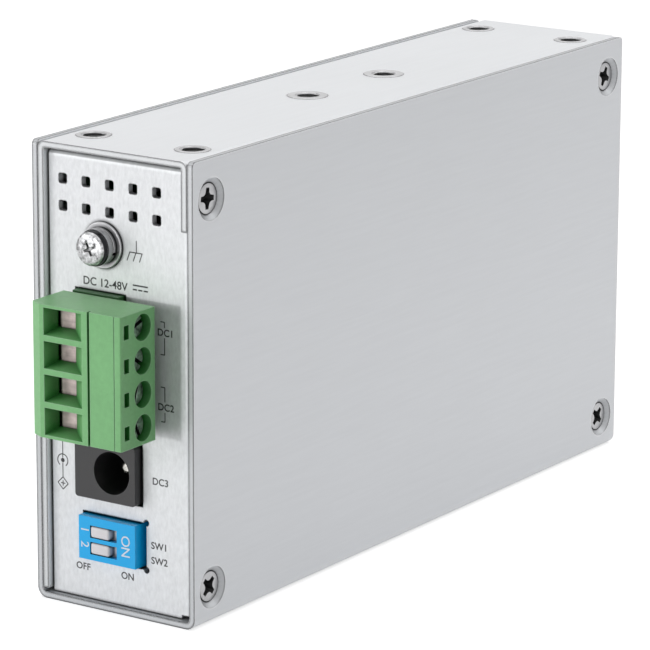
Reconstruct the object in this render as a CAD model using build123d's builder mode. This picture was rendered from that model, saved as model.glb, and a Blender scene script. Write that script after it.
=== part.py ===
from build123d import *
import math
import os

# Industrial router in a folded sheet enclosure. Millimetres.
# Frame: origin in the middle of the underside, +X to the side with the plug's clamp screws,
# +Y away from the power panel, +Z up to the side with the six mounting nuts.

os.makedirs("parts", exist_ok=True)

# Enclosure
case_length = 121.0
case_width = 29.0
case_height = 70.0
sheet = 1.0
sheet_fit = 0.05
cover_bend_radius = 1.6
cover_corner_radius = 0.8
chassis_bend_radius = 1.2
panel_recess = 1.0
panel_bottom_gap = 0.1
panel_flange_depth = 14.0
chassis_flange_depth = 10.3
panel_slot = 0.75
tab_depth = 8.0
tab_inset = 12.0
panel_top_tab = 5.0

# Vents, in rows under the top edge of both end panels
vent_size = 1.55
vent_corner_radius = 0.35
vent_columns = 5
vent_rows = 2
vent_pitch_x = 4.25
vent_pitch_z = 4.07
vent_field_x = -1.15
vent_field_below_top = 7.45

# Cover screws and their pressed nuts
cover_screw_inset_y = 4.5
cover_screw_inset_top = 6.05
cover_screw_inset_bottom = 5.6
cover_screw_radius = 1.45
cover_screw_length = 4.0
cover_screw_head_radius = 2.45
cover_screw_recess = 0.7
cross_width = 0.7
cross_length = 2.9
cross_depth = 0.7
dimple_radius = 3.2
clearance_hole_radius = 1.6
cover_nut_radius = 2.2
cover_nut_height = 1.8
running_fit = 0.05

# Mounting nuts pressed into the top
mount_thread_radius = 1.65
corner_nut_side_gap = 0.21
corner_nut_inset_y = 7.6
corner_nut_ring_radius = 2.65
middle_nut_span_y = 21.2
middle_nut_ring_radius = 3.15
nut_ring_stand = 0.12
nut_body_radius = 3.3
nut_body_depth = 2.2

# Ground screw on the power panel
ground_screw_x = -2.3
ground_screw_below_top = 14.4
ground_screw_radius = 1.45
ground_head_radius = 2.75
ground_head_height = 2.25
flat_washer_radius = 3.5
flat_washer_height = 0.5
spring_washer_radius = 2.75
spring_washer_height = 0.8
spring_washer_split = 0.45
washer_bore_radius = 1.6
ground_nut_radius = 3.0
ground_nut_height = 2.4

# Main board, parallel to the case's sides
board_thickness = 1.6
board_end_gap = 1.2
board_bottom = 3.0
board_below_top = 4.5
standoff_height = 3.85
standoff_radius = 2.4
board_screw_radius = 1.2
board_screw_head_radius = 2.3
board_screw_head_height = 1.6
standoff_behind_jack = 4.5
standoff_before_ports = 3.5
standoff_low_z = 6.0
standoff_high_below_top = 7.8

# Upright gaps on the front panel, which share its height: below the switch, the jack, the terminal and the ground screw
front_gaps = (6.575, 2.925, 2.05, 3.6)

# Terminal block: header on the board and pluggable part
pole_count = 4
pole_pitch = 5.0
header_height = 8.4
header_length = 13.1
header_wall = 0.8
header_back_wall = 2.0
header_side_wall = 1.0
header_stand = 1.4
plug_fit = 0.1
pin_size = 1.0
pin_reach = 7.1
pin_above_board = 4.1
plug_left_overhang = 1.1
plug_depth_x = 16.5
plug_shoulder_gap = 0.7
plug_front_length = 8.3
column_setback = 0.1
nose_length = 8.8
plug_chamfer_x = 1.9
plug_chamfer_y = 1.0
plug_corner_radius = 0.25
edge_strip_width = 1.25
edge_line_width = 0.14
groove_from_right = 5.9
groove_width = 0.3
groove_depth = 0.6
pole_bar = 0.9
mouth_from_left = 2.7
mouth_width = 6.9
channel_inset = 0.4
channel_width = 3.15
channel_height = 2.7
funnel_depth = 3.0
chamber_floor = 0.65
chamber_length = 4.8
cage_wall = 0.55
cage_jaw = 0.8
cage_nut_height = 1.2
cage_travel = 2.0
cage_lip_depth = 2.8
cage_lip_thickness = 0.5
cage_end_gap = 0.15
cage_front_gap = 0.1
bus_bar_height = 0.8
contact_sleeve = 2.0
contact_bore = 1.3
contact_leg = 0.6
clamp_screw_radius = 1.22
clamp_head_radius = 1.9
clamp_head_height = 1.7
clamp_bore_radius = 2.0
clamp_slot_width = 0.6
clamp_slot_depth = 0.8
clamp_head_sink = 1.3
clamp_axis_from_front = 5.4
clamp_slot_angles = (20.0, -35.0, 70.0, 115.0)
test_slot_width = 1.15
test_slot_height = 2.1
test_slot_depth = 3.0
test_slot_from_front = 0.95

# Round power jack
jack_width = 9.0
jack_depth_x = 11.0
jack_foot = 0.2
jack_axis_above_board = 6.95
jack_length = 14.5
jack_flange_length = 3.5
jack_step = 0.5
jack_stand = 1.6
jack_corner_radius = 0.5
jack_bore_radius = 3.25
jack_bore_depth = 10.5
jack_pin_radius = 1.05
jack_pin_recess = 3.4
leaf_width = 2.5
leaf_length = 4.0
leaf_thickness = 0.4
leaf_inset = 0.75
leaf_from_front = 6.0

# Two-way slide switch
switch_width = 10.4
switch_height = 6.65
switch_foot = 0.7
switch_stand = 1.5
switch_front_wall = 1.0
switch_housing_depth = 4.5
switch_base_depth = 1.7
switch_pitch = 2.54
switch_wall = 0.4
window_length = 4.9
window_height = 1.9
window_from_left = 2.1
slider_length = 3.5
slider_stand = 0.1
slider_body_thickness = 1.4
slider_body_height = 2.1
switch_pin_width = 0.5
switch_pin_spread = 7.62
switch_cut_right = 0.97
switch_relief_radius = 0.5

# Openings in the panels around the connectors
cutout_gap = 0.3

# Network ports on the far panel
port_count = 3
port_web = 0.6
port_gap_below = 7.5
port_gap_above = 3.14
port_width = 15.6
port_height = 13.2
port_length = 21.0
port_stand = 0.5
port_shell = 0.3
cavity_width = 11.8
cavity_height = 6.8
cavity_above_board = 3.2
cavity_depth = 13.0
latch_width = 6.2
latch_depth = 1.4
contact_count = 8
contact_pitch = 1.02
contact_width = 0.45
contact_thickness = 0.4
contact_drop = 2.1

# Status lamps: chips on the board and a clear pipe to the far panel
status_count = 4
status_pitch = 8.0
pipe_radius_share = 2 / 11
pipe_place_share = 6 / 11
pipe_plate = 2.0
pipe_plate_gap = 2.5
pipe_lamp_gap = 0.2
lamp_chip_size = 1.6
lamp_chip_height = 0.8

# Parts on the board
processor_size = 17.0
processor_height = 1.4
thermal_pad_size = 16.0
thermal_pad_height = 0.8
heat_sink_size = 28.0
heat_sink_base = 2.0
heat_sink_fins = 8
heat_sink_fin_width = 1.2
heat_sink_fin_height = 7.0
processor_y = 4.0
processor_above_middle = 2.0
memory_size = (9.0, 12.5)
memory_height = 1.1
memory_gap = 5.0
memory_below_sink = 4.0
crystal_size = (11.0, 4.7)
crystal_height = 3.5
crystal_above_sink = 5.5
transformer_size = (8.0, 12.5)
transformer_height = 5.6
transformer_from_ports = 12.0
capacitor_radius = 4.0
capacitor_height = 10.5
capacitor_count = 3
capacitor_pitch = 9.5
capacitor_from_header = 11.8
capacitor_below_top = 15.0
inductor_size = 12.0
inductor_height = 6.5
inductor_corner = 2.0
inductor_pitch = 16.0
inductor_below_capacitor = 2.0
inductor_shift_y = 1.0

# Places of the sheets
half_length = case_length / 2
half_width = case_width / 2
chassis_half = half_width - sheet - sheet_fit
wall_inside = chassis_half - sheet
panel_y = half_length - panel_recess
panel_inside_y = panel_y - sheet
chassis_flange_bottom = case_height - chassis_flange_depth
top_inside = case_height - sheet
panel_flange_top = chassis_flange_bottom - cutout_gap
panel_bottom = sheet + panel_bottom_gap
flange_bottom = cover_bend_radius + sheet_fit
plate_left = sheet_fit - chassis_half + chassis_bend_radius
plate_right = wall_inside - panel_slot
corner_nut_span_x = 2 * (wall_inside - nut_body_radius - corner_nut_side_gap)
corner_nut_span_y = case_length - 2 * corner_nut_inset_y
cover_screw_y = half_length - cover_screw_inset_y
cover_screw_heights = (cover_screw_inset_bottom, case_height - cover_screw_inset_top)
ground_screw_z = case_height - ground_screw_below_top

# Places of the board
board_back = standoff_height - wall_inside
board_face = board_back + board_thickness
board_top = case_height - board_below_top
board_half_length = panel_inside_y - board_end_gap

# Heights on the front panel: its gaps stretch or shrink together with the case
header_half = pole_count * pole_pitch / 2 + plug_fit
ground_low = ground_screw_z - flat_washer_radius
front_spare = ground_low - panel_bottom - switch_height - jack_width - 2 * header_half
switch_gap, jack_gap, terminal_gap, ground_gap = [gap * front_spare / sum(front_gaps) for gap in front_gaps]
switch_z = panel_bottom + switch_gap + switch_height / 2
jack_z = switch_z + switch_height / 2 + jack_gap + jack_width / 2
terminal_z = jack_z + jack_width / 2 + terminal_gap + header_half

# Places of the terminal block
pole_heights = [terminal_z + pole_pitch * ((pole_count - 1) / 2 - i) for i in range(pole_count)]
mouth_height = pole_pitch - pole_bar
plug_height = pole_count * pole_pitch
header_front = -(panel_y + header_stand)
header_back = header_front + header_length
header_top = board_face + header_height
pin_x = board_face + pin_above_board
pin_bend_y = header_back + pin_size
plug_left = board_face - plug_left_overhang
plug_right = plug_left + plug_depth_x
shoulder_y = header_front - plug_shoulder_gap
plug_front = shoulder_y - plug_front_length
column_front = plug_front + column_setback
groove_x = plug_right - groove_from_right
edge_line_x = plug_right - edge_strip_width
mouth_left = plug_left + mouth_from_left
channel_left = mouth_left + channel_inset
channel_right = channel_left + channel_width
chamber_front = plug_front + funnel_depth
chamber_back = chamber_front + chamber_length
clamp_y = plug_front + clamp_axis_from_front
nose_low = board_face + header_wall + plug_fit
nose_high = header_top - header_wall - plug_fit
nose_half = header_half - header_side_wall - plug_fit
nose_end = shoulder_y + nose_length

# Places of the clamps, closed at rest
bus_low = channel_right + running_fit
bus_high = bus_low + bus_bar_height
bus_half = mouth_height / 2 - cage_wall - 4 * running_fit
jaw_top = bus_low - running_fit
jaw_low = jaw_top - cage_jaw
lip_low = jaw_top - cage_lip_depth
cage_nut_low = bus_high + cage_travel + cage_end_gap
cage_high = cage_nut_low + cage_nut_height
cage_half = mouth_height / 2 - plug_fit
cage_front = chamber_front + cage_lip_thickness + cage_front_gap
cage_back = chamber_back - plug_fit
chamber_low = plug_left + chamber_floor
chamber_high = cage_high + running_fit
clamp_head_high = plug_right - clamp_head_sink
clamp_head_low = clamp_head_high - clamp_head_height
clamp_tip = bus_high + running_fit

# Places of the jack, the switch, the ports and the lamps
jack_front = -(panel_y + jack_stand)
jack_low = board_face + jack_foot
jack_high = jack_low + jack_depth_x
jack_x = board_face + jack_axis_above_board
jack_back = jack_front + jack_length
leaf_y = jack_front + leaf_from_front + leaf_length / 2
leaf_z = jack_z + jack_bore_radius - leaf_inset
switch_low = board_face + switch_foot
switch_high = switch_low + switch_width
switch_front = -(panel_y + switch_stand)
switch_housing_back = switch_front + switch_housing_depth
switch_base_back = switch_housing_back + switch_base_depth
slider_heights = (switch_z + switch_pitch / 2 - 0.2, switch_z - switch_pitch / 2 - 0.2)
window_left = switch_low + window_from_left
window_right = window_left + window_length
slider_travel = window_length - slider_length - 2 * running_fit
slider_front = switch_front + switch_front_wall + running_fit
slider_back = slider_front + slider_body_thickness
pin_row_ys = (switch_base_back + 1.0, switch_base_back + 1.0 + switch_pitch)
port_front = panel_y + port_stand
port_back = port_front - port_length
port_top = board_face + port_height
port_pitch = port_width + port_web
port_stack = port_count * port_pitch - port_web
vents_low = case_height - vent_field_below_top - ((vent_rows - 1) * vent_pitch_z + vent_size) / 2
port_spare = vents_low - panel_bottom - port_stack
port_z = panel_bottom + port_spare * port_gap_below / (port_gap_below + port_gap_above) + port_stack / 2
port_heights = [port_z + port_pitch * (i - (port_count - 1) / 2) for i in range(port_count)]
cavity_low = board_face + cavity_above_board
cavity_high = cavity_low + cavity_height
cavity_back = port_front - cavity_depth
pipe_room = plate_right - port_top
pipe_x = port_top + pipe_place_share * pipe_room
pipe_radius = pipe_radius_share * pipe_room
pipe_plate_front = port_back - pipe_plate_gap
status_heights = [port_z + status_pitch * (i - (status_count - 1) / 2) for i in range(status_count)]

# Places of the standoffs, clear of the jack and of the ports
high_z = case_height - standoff_high_below_top
standoff_ys = (jack_back + standoff_behind_jack, port_back - standoff_before_ports)
standoff_places = [(y, z) for z in (standoff_low_z, high_z) for y in standoff_ys]

# Planes that face out of the front panel, out of the far panel and up from the board
front_plane = Plane.XZ.offset(panel_y)
far_plane = Plane(origin=(0, panel_y, 0), x_dir=(1, 0, 0), z_dir=(0, 1, 0))
board_back_plane = Plane(origin=(board_back, 0, 0), x_dir=(0, 1, 0), z_dir=(1, 0, 0))
board_face_plane = Plane(origin=(board_face, 0, 0), x_dir=(0, 1, 0), z_dir=(1, 0, 0))


def keep(part, name):
    """Label a finished piece and write it."""
    part.label = name
    export_step(part, f"parts/{name}.step")


def block(low, high, mode=Mode.ADD):
    """Add or cut a plain block between two corners in the part being built."""
    size = [b - a for a, b in zip(low, high)]
    middle = [(a + b) / 2 for a, b in zip(low, high)]
    with Locations(tuple(middle)):
        Box(*size, mode=mode)


def cut(low, high):
    """Cut a plain block between two corners out of the part being built."""
    block(low, high, Mode.SUBTRACT)


def folded(plane, points, radius, side):
    """The section of a folded sheet on a plane: its outer line with bends, thickened to one side."""
    with BuildSketch(plane) as section:
        with BuildLine():
            FilletPolyline(*points, radius=radius)
            offset(amount=sheet, side=side)
        make_face()
    return section.sketch


def side_plane(x, y, z):
    """A plane across X whose normal points away from the middle of the case."""
    return Plane(origin=(x, y, z), x_dir=(0, 1, 0), z_dir=(math.copysign(1, x), 0, 0))


def screw_planes(x):
    """The four cover screw places of the side at x."""
    return [side_plane(x, y, z) for y in (-cover_screw_y, cover_screw_y) for z in cover_screw_heights]


def countersink_sides():
    """Countersink all eight cover screw places through the sheets of the part being built."""
    for x in (-half_width, half_width):
        with Locations(*screw_planes(x)):
            CounterSinkHole(clearance_hole_radius, dimple_radius, 3 * sheet, 90)


def vent_field(plane):
    """The rows of rounded vents of an end panel."""
    with BuildSketch(plane) as vents:
        with Locations((vent_field_x, case_height - vent_field_below_top)):
            with GridLocations(vent_pitch_x, vent_pitch_z, vent_columns, vent_rows):
                RectangleRounded(vent_size, vent_size, vent_corner_radius)
    return vents.sketch


# Cover: both sides and the bottom folded from one sheet
cover_line = [(-half_width, case_height), (-half_width, 0), (half_width, 0), (half_width, case_height)]
with BuildPart() as cover:
    extrude(folded(Plane.XZ, cover_line, cover_bend_radius, Side.LEFT), amount=half_length, both=True)
    top_corners = cover.edges().filter_by(Axis.X).group_by(Axis.Z)[-1]
    fillet(top_corners, cover_corner_radius)
    countersink_sides()
keep(cover.part, "cover")

# Chassis: left wall, top and a short right flange folded from one sheet
chassis_line = [(-chassis_half, flange_bottom), (-chassis_half, case_height),
                (chassis_half, case_height), (chassis_half, chassis_flange_bottom)]
with BuildPart() as chassis:
    extrude(folded(Plane.XZ, chassis_line, chassis_bend_radius, Side.RIGHT), amount=half_length, both=True)
    countersink_sides()
    with Locations(Plane.XY.offset(case_height)):
        with GridLocations(corner_nut_span_x, corner_nut_span_y, 2, 2):
            Hole(corner_nut_ring_radius + running_fit, depth=2 * sheet)
        with GridLocations(0, middle_nut_span_y, 1, 2):
            Hole(middle_nut_ring_radius + running_fit, depth=2 * sheet)
    with Locations(*[side_plane(-chassis_half, y, z) for y, z in standoff_places]):
        Hole(board_screw_radius + running_fit, depth=2 * sheet)
keep(chassis.part, "chassis")


def panel_blank():
    """The front panel before its openings: plate, top flange, right flange and left tab."""
    back = -panel_y + panel_flange_depth
    right_line = [(plate_left, -panel_y), (chassis_half, -panel_y), (chassis_half, back)]
    full_line = [(-wall_inside, -panel_y + tab_depth), (-wall_inside, -panel_y)] + right_line[1:]
    top_line = [(-panel_y, chassis_flange_bottom - panel_top_tab), (-panel_y, top_inside), (back, top_inside)]
    right_section = folded(Plane.XY.offset(panel_bottom), right_line, chassis_bend_radius, Side.LEFT)
    full_section = folded(Plane.XY.offset(panel_bottom + tab_inset), full_line, chassis_bend_radius, Side.LEFT)
    with BuildPart() as blank:
        extrude(right_section, amount=panel_flange_top - panel_bottom)
        extrude(full_section, amount=panel_flange_top - panel_bottom - 1.3 * tab_inset)
        extrude(folded(Plane.YZ.offset(plate_left), top_line, chassis_bend_radius, Side.RIGHT),
                amount=plate_right - plate_left)
        cut((plate_right, -panel_y - 1, panel_flange_top), (half_width, back + 1, case_height))
        cut((chassis_half - 2 * sheet, -panel_y - 1, 0), (half_width, back + 1, flange_bottom))
        countersink_sides()
        with Locations(Plane.XY.offset(case_height)):
            with GridLocations(corner_nut_span_x, corner_nut_span_y, 2, 2):
                Hole(corner_nut_ring_radius + running_fit, depth=3 * sheet)
    return blank.part


# Front panel: ground screw hole and openings for the header, the jack and the switch
with BuildPart() as front_panel:
    add(panel_blank())
    extrude(vent_field(front_plane), amount=-sheet, mode=Mode.SUBTRACT)
    with Locations(Plane(origin=(ground_screw_x, -panel_y, ground_screw_z), z_dir=(0, -1, 0))):
        Hole(washer_bore_radius, depth=2 * sheet)
    outside, inside = -panel_y - 1, -panel_inside_y + 1
    cut((board_face - 2 * cutout_gap, outside, terminal_z - header_half - cutout_gap / 2),
        (header_top + cutout_gap, inside, terminal_z + header_half + cutout_gap / 2))
    cut((jack_low - cutout_gap, outside, jack_z - jack_width / 2 - cutout_gap),
        (jack_high + cutout_gap, inside, jack_z + jack_width / 2 + cutout_gap))
    switch_cut = (switch_z - switch_height / 2 - cutout_gap, switch_z + switch_height / 2 + cutout_gap)
    switch_cut_x = switch_high + switch_cut_right
    cut((switch_low - cutout_gap, outside, switch_cut[0]), (switch_cut_x, inside, switch_cut[1]))
    for z in switch_cut:
        with Locations(Plane(origin=(switch_cut_x, -panel_y, z), z_dir=(0, -1, 0))):
            Hole(switch_relief_radius, depth=2 * sheet)
keep(front_panel.part, "front_panel")

# Far panel: openings for the network ports and the status lamps
with BuildPart() as rear_panel:
    add(mirror(panel_blank(), about=Plane.XZ))
    extrude(vent_field(far_plane), amount=-sheet, mode=Mode.SUBTRACT)
    for z in port_heights:
        half = port_width / 2 + cutout_gap / 2
        cut((board_face - cutout_gap, panel_inside_y - 1, z - half), (port_top + cutout_gap, panel_y + 1, z + half))
    with Locations(*[Plane(origin=(pipe_x, panel_y, z), z_dir=(0, 1, 0)) for z in status_heights]):
        Hole(pipe_radius + plug_fit, depth=2 * sheet)
keep(rear_panel.part, "rear_panel")


def countersunk_screw(angle):
    """A flat-head cross screw with the cover's outer face at z = 0."""
    face = -cover_screw_recess
    neck = face - cover_screw_head_radius + cover_screw_radius
    with BuildPart() as screw:
        with BuildSketch(Plane.XZ):
            with BuildLine():
                Polyline((0, face), (cover_screw_head_radius, face), (cover_screw_radius, neck),
                         (cover_screw_radius, face - cover_screw_length), (0, face - cover_screw_length),
                         close=True)
            make_face()
        revolve(axis=Axis.Z)
        with BuildSketch(Plane.XY.offset(face)):
            Rectangle(cross_length, cross_width, rotation=angle)
            Rectangle(cross_width, cross_length, rotation=angle)
        extrude(amount=-cross_depth, mode=Mode.SUBTRACT)
    return screw.part


# Cover screws, four on each side
cross_angles = (12.0, 38.0, -22.0, 63.0)
for side_name, side_x in (("right", half_width), ("left", -half_width)):
    with BuildPart() as cover_screws:
        for plane, angle in zip(screw_planes(side_x), cross_angles):
            add(plane.location * countersunk_screw(angle))
    keep(cover_screws.part, f"cover_screws_{side_name}")

# Cover nuts pressed on the inside of the walls and flanges
with BuildPart() as cover_nuts:
    for nut_plane in screw_planes(-wall_inside) + screw_planes(wall_inside):
        with BuildSketch(nut_plane):
            Circle(cover_nut_radius)
            Circle(cover_screw_radius + running_fit, mode=Mode.SUBTRACT)
        extrude(amount=-cover_nut_height)
keep(cover_nuts.part, "cover_nuts")


def mounting_nut(ring_radius, grip):
    """A pressed nut with the top's face at z = 0: a ring through the sheets gripped and a body below."""
    with BuildPart() as nut:
        with BuildSketch(Plane.XZ):
            with BuildLine():
                Polyline((mount_thread_radius, -sheet - nut_body_depth), (nut_body_radius, -sheet - nut_body_depth),
                         (nut_body_radius, -grip), (ring_radius, -grip), (ring_radius, 0),
                         (ring_radius - nut_ring_stand, nut_ring_stand),
                         (mount_thread_radius + nut_ring_stand, nut_ring_stand), (mount_thread_radius, 0),
                         close=True)
            make_face()
        revolve(axis=Axis.Z)
    return nut.part


# Mounting nuts: the corner ones also hold the panels' top flanges
with BuildPart() as corner_mounting_nuts:
    with Locations((0, 0, case_height)):
        with GridLocations(corner_nut_span_x, corner_nut_span_y, 2, 2):
            add(mounting_nut(corner_nut_ring_radius, 2 * sheet))
keep(corner_mounting_nuts.part, "corner_mounting_nuts")

with BuildPart() as middle_mounting_nuts:
    with Locations((0, 0, case_height)):
        with GridLocations(0, middle_nut_span_y, 1, 2):
            add(mounting_nut(middle_nut_ring_radius, sheet))
keep(middle_mounting_nuts.part, "middle_mounting_nuts")

# Ground screw, its two washers and the nut behind the panel
ground_plane = Plane(origin=(ground_screw_x, -panel_y, ground_screw_z), x_dir=(1, 0, 0), z_dir=(0, -1, 0))
washer_stack = flat_washer_height + spring_washer_height

with BuildPart() as ground_flat_washer:
    with BuildSketch(ground_plane):
        Circle(flat_washer_radius)
        Circle(washer_bore_radius, mode=Mode.SUBTRACT)
    extrude(amount=flat_washer_height)
keep(ground_flat_washer.part, "ground_flat_washer")

with BuildPart() as ground_spring_washer:
    with BuildSketch(ground_plane.offset(flat_washer_height)):
        Circle(spring_washer_radius)
        Circle(washer_bore_radius, mode=Mode.SUBTRACT)
        with Locations((spring_washer_radius, 0)):
            Rectangle(2 * spring_washer_radius, spring_washer_split, rotation=12, mode=Mode.SUBTRACT)
    extrude(amount=spring_washer_height)
keep(ground_spring_washer.part, "ground_spring_washer")

with BuildPart() as ground_screw:
    with BuildSketch(ground_plane.offset(washer_stack)):
        Circle(ground_head_radius)
    extrude(amount=ground_head_height)
    fillet(ground_screw.edges().sort_by(Axis.Y)[0], 0.3 * ground_head_radius)
    with BuildSketch(ground_plane.offset(washer_stack)):
        Circle(ground_screw_radius)
    extrude(amount=-(washer_stack + sheet + ground_nut_height))
    with BuildSketch(ground_plane.offset(washer_stack + ground_head_height)):
        Rectangle(cross_length, cross_width, rotation=20)
        Rectangle(cross_width, cross_length, rotation=20)
    extrude(amount=-2 * cross_depth, mode=Mode.SUBTRACT)
keep(ground_screw.part, "ground_screw")

with BuildPart() as ground_nut:
    with BuildSketch(ground_plane.offset(-sheet)):
        RegularPolygon(ground_nut_radius, 6)
        Circle(ground_screw_radius + running_fit, mode=Mode.SUBTRACT)
    extrude(amount=-ground_nut_height)
keep(ground_nut.part, "ground_nut")

# Main board with holes for screws, pins and tails
jack_tail_y = jack_back + 0.25
with BuildPart() as main_board:
    with BuildSketch(board_back_plane):
        with Locations((0, (board_bottom + board_top) / 2)):
            RectangleRounded(2 * board_half_length, board_top - board_bottom, 1.0)
        with Locations(*standoff_places):
            Circle(board_screw_radius + running_fit, mode=Mode.SUBTRACT)
        with Locations(*[(pin_bend_y, z) for z in pole_heights]):
            Circle(0.85 * pin_size, mode=Mode.SUBTRACT)
        with Locations(*[(y, z) for y in pin_row_ys for z in slider_heights]):
            Circle(0.85 * switch_pin_width, mode=Mode.SUBTRACT)
        with Locations((jack_tail_y, jack_z), (leaf_y, leaf_z + leaf_thickness / 2)):
            Circle(1.15 * jack_pin_radius, mode=Mode.SUBTRACT)
    extrude(amount=board_thickness)
keep(main_board.part, "main_board")

# Standoffs from the left wall to the board, and the screws that hold the board on them
with BuildPart() as board_standoffs:
    with BuildSketch(board_back_plane):
        with Locations(*standoff_places):
            RegularPolygon(standoff_radius, 6)
            Circle(board_screw_radius + running_fit, mode=Mode.SUBTRACT)
    extrude(amount=-standoff_height)
keep(board_standoffs.part, "board_standoffs")

with BuildPart() as board_screws:
    with BuildSketch(board_face_plane):
        with Locations(*standoff_places):
            Circle(board_screw_head_radius)
    extrude(amount=board_screw_head_height)
    with BuildSketch(board_face_plane):
        with Locations(*standoff_places):
            Circle(board_screw_radius)
    extrude(amount=-(board_thickness + 0.9 * standoff_height))
    with BuildSketch(board_face_plane.offset(board_screw_head_height)):
        with Locations(*standoff_places):
            Rectangle(1.2 * board_screw_head_radius, cross_width)
            Rectangle(cross_width, 1.2 * board_screw_head_radius)
    extrude(amount=-cross_depth, mode=Mode.SUBTRACT)
keep(board_screws.part, "board_screws")

# Header: an open shroud on the board with a bent pin for each pole
with BuildPart() as header_housing:
    block((board_face, header_front, terminal_z - header_half), (header_top, header_back, terminal_z + header_half))
    inner_half = header_half - header_side_wall
    cut((board_face + header_wall, header_front - 1, terminal_z - inner_half),
        (header_top - header_wall, header_back - header_back_wall, terminal_z + inner_half))
    for z in pole_heights:
        half = pin_size / 2
        cut((pin_x - half, header_back - header_back_wall - 1, z - half), (pin_x + half, header_back + 1, z + half))
keep(header_housing.part, "header_housing")

pin_tip_y = header_back - header_back_wall - pin_reach
with BuildPart() as header_pins:
    for z in pole_heights:
        half = pin_size / 2
        block((pin_x - half, pin_tip_y, z - half), (pin_x + half, pin_bend_y + half, z + half))
        block((board_back - pin_size, pin_bend_y - half, z - half), (pin_x + half, pin_bend_y + half, z + half))
    chamfer(header_pins.faces().group_by(Axis.Y)[0].edges(), pin_size / 4)
keep(header_pins.part, "header_pins")


def plug_plan():
    """The plug's plan: chamfered left corner, entry frame, groove, column, fine line and edge strip."""
    groove_end = column_front + groove_depth
    line_end = column_front + edge_line_width
    with BuildSketch(Plane.XY.offset(terminal_z - plug_height / 2)) as plan:
        with BuildLine():
            Polyline((plug_right - plug_corner_radius, column_front), (edge_line_x + edge_line_width, column_front),
                     (edge_line_x + edge_line_width / 2, line_end), (edge_line_x, column_front),
                     (groove_x + groove_width, column_front),
                     (groove_x + groove_width, groove_end), (groove_x, groove_end), (groove_x, plug_front),
                     (plug_left + plug_chamfer_x, plug_front), (plug_left, plug_front + plug_chamfer_y),
                     (plug_left, shoulder_y), (plug_right, shoulder_y),
                     (plug_right, column_front + plug_corner_radius))
            CenterArc((plug_right - plug_corner_radius, column_front + plug_corner_radius),
                      plug_corner_radius, -90, 90)
        make_face()
    return plan.sketch


def mouth(y, z, left, right, height):
    """A cross-section of a wire funnel at depth y."""
    with BuildSketch(Plane.XZ.offset(-y)) as face:
        with Locations(((left + right) / 2, z)):
            Rectangle(right - left, height)
    return face.sketch


# Plug housing: wire funnels, clamp chambers, screw bores, slots and a nose that enters the header
sleeve_low = pin_x - contact_sleeve / 2
with BuildPart() as plug_housing:
    extrude(plug_plan(), amount=plug_height)
    block((nose_low, shoulder_y, terminal_z - nose_half), (nose_high, nose_end, terminal_z + nose_half))
    for z in pole_heights:
        funnel = [mouth(plug_front, z, mouth_left, mouth_left + mouth_width, mouth_height),
                  mouth(chamber_front, z, channel_left, channel_right, channel_height)]
        loft(funnel, mode=Mode.SUBTRACT)
        half = mouth_height / 2
        cut((chamber_low, chamber_front, z - half), (chamber_high, chamber_back, z + half))
        half = bus_half + running_fit
        cut((sleeve_low - plug_fit, chamber_back - 1, z - half), (bus_high + plug_fit, nose_end + 1, z + half))
        with Locations(side_plane(plug_right, clamp_y, z)):
            CounterBoreHole(clamp_screw_radius + 4 * running_fit, clamp_bore_radius,
                            plug_right - clamp_head_low + running_fit, plug_right - chamber_high + 0.1)
        half = test_slot_height / 2
        slot_y = plug_front + test_slot_from_front
        cut((plug_right - test_slot_depth, slot_y, z - half), (plug_right + 1, slot_y + test_slot_width, z + half))
keep(plug_housing.part, "plug_housing")

# Plug contacts: a bus bar over the wire space, a leg and a square sleeve for the pin
with BuildPart() as plug_contacts:
    leg_front = chamber_back + plug_fit
    leg_back = leg_front + contact_leg
    half = contact_sleeve / 2
    for z in pole_heights:
        block((bus_low, chamber_front + plug_fit, z - bus_half), (bus_high, leg_back, z + bus_half))
        block((sleeve_low, leg_front, z - half), (bus_high, leg_back, z + half))
        block((sleeve_low, leg_back, z - half), (sleeve_low + contact_sleeve, nose_end - 1, z + half))
        bore = contact_bore / 2
        cut((pin_x - bore, leg_back + 0.2, z - bore), (pin_x + bore, nose_end, z + bore))
keep(plug_contacts.part, "plug_contacts")

# Clamp cages: a ring round the bus bar with a threaded block above and a jaw with a guard lip below
for number, z in enumerate(pole_heights, 1):
    with BuildPart() as clamp_cage:
        block((jaw_low, cage_front, z - cage_half), (cage_high, cage_back, z + cage_half))
        window = cage_half - cage_wall
        cut((jaw_top, cage_front - 1, z - window), (cage_nut_low, cage_back + 1, z + window))
        block((lip_low, cage_front - cage_lip_thickness, z - cage_half), (jaw_top, cage_front, z + cage_half))
        with Locations(side_plane(cage_high, clamp_y, z)):
            Hole(clamp_screw_radius + running_fit, depth=cage_nut_height + 0.5)
    keep(clamp_cage.part, f"clamp_cage_{number}")

# Clamp screws: slotted heads down in the plug's side bores
for number, (z, angle) in enumerate(zip(pole_heights, clamp_slot_angles), 1):
    head_plane = side_plane(clamp_head_high, clamp_y, z)
    with BuildPart() as clamp_screw:
        with BuildSketch(head_plane):
            Circle(clamp_head_radius)
        extrude(amount=-clamp_head_height)
        with BuildSketch(head_plane):
            Circle(clamp_screw_radius)
        extrude(amount=-(clamp_head_high - clamp_tip))
        with BuildSketch(head_plane):
            Rectangle(2 * clamp_head_radius + 1, clamp_slot_width, rotation=angle)
        extrude(amount=-clamp_slot_depth, mode=Mode.SUBTRACT)
    keep(clamp_screw.part, f"clamp_screw_{number}")

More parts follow.
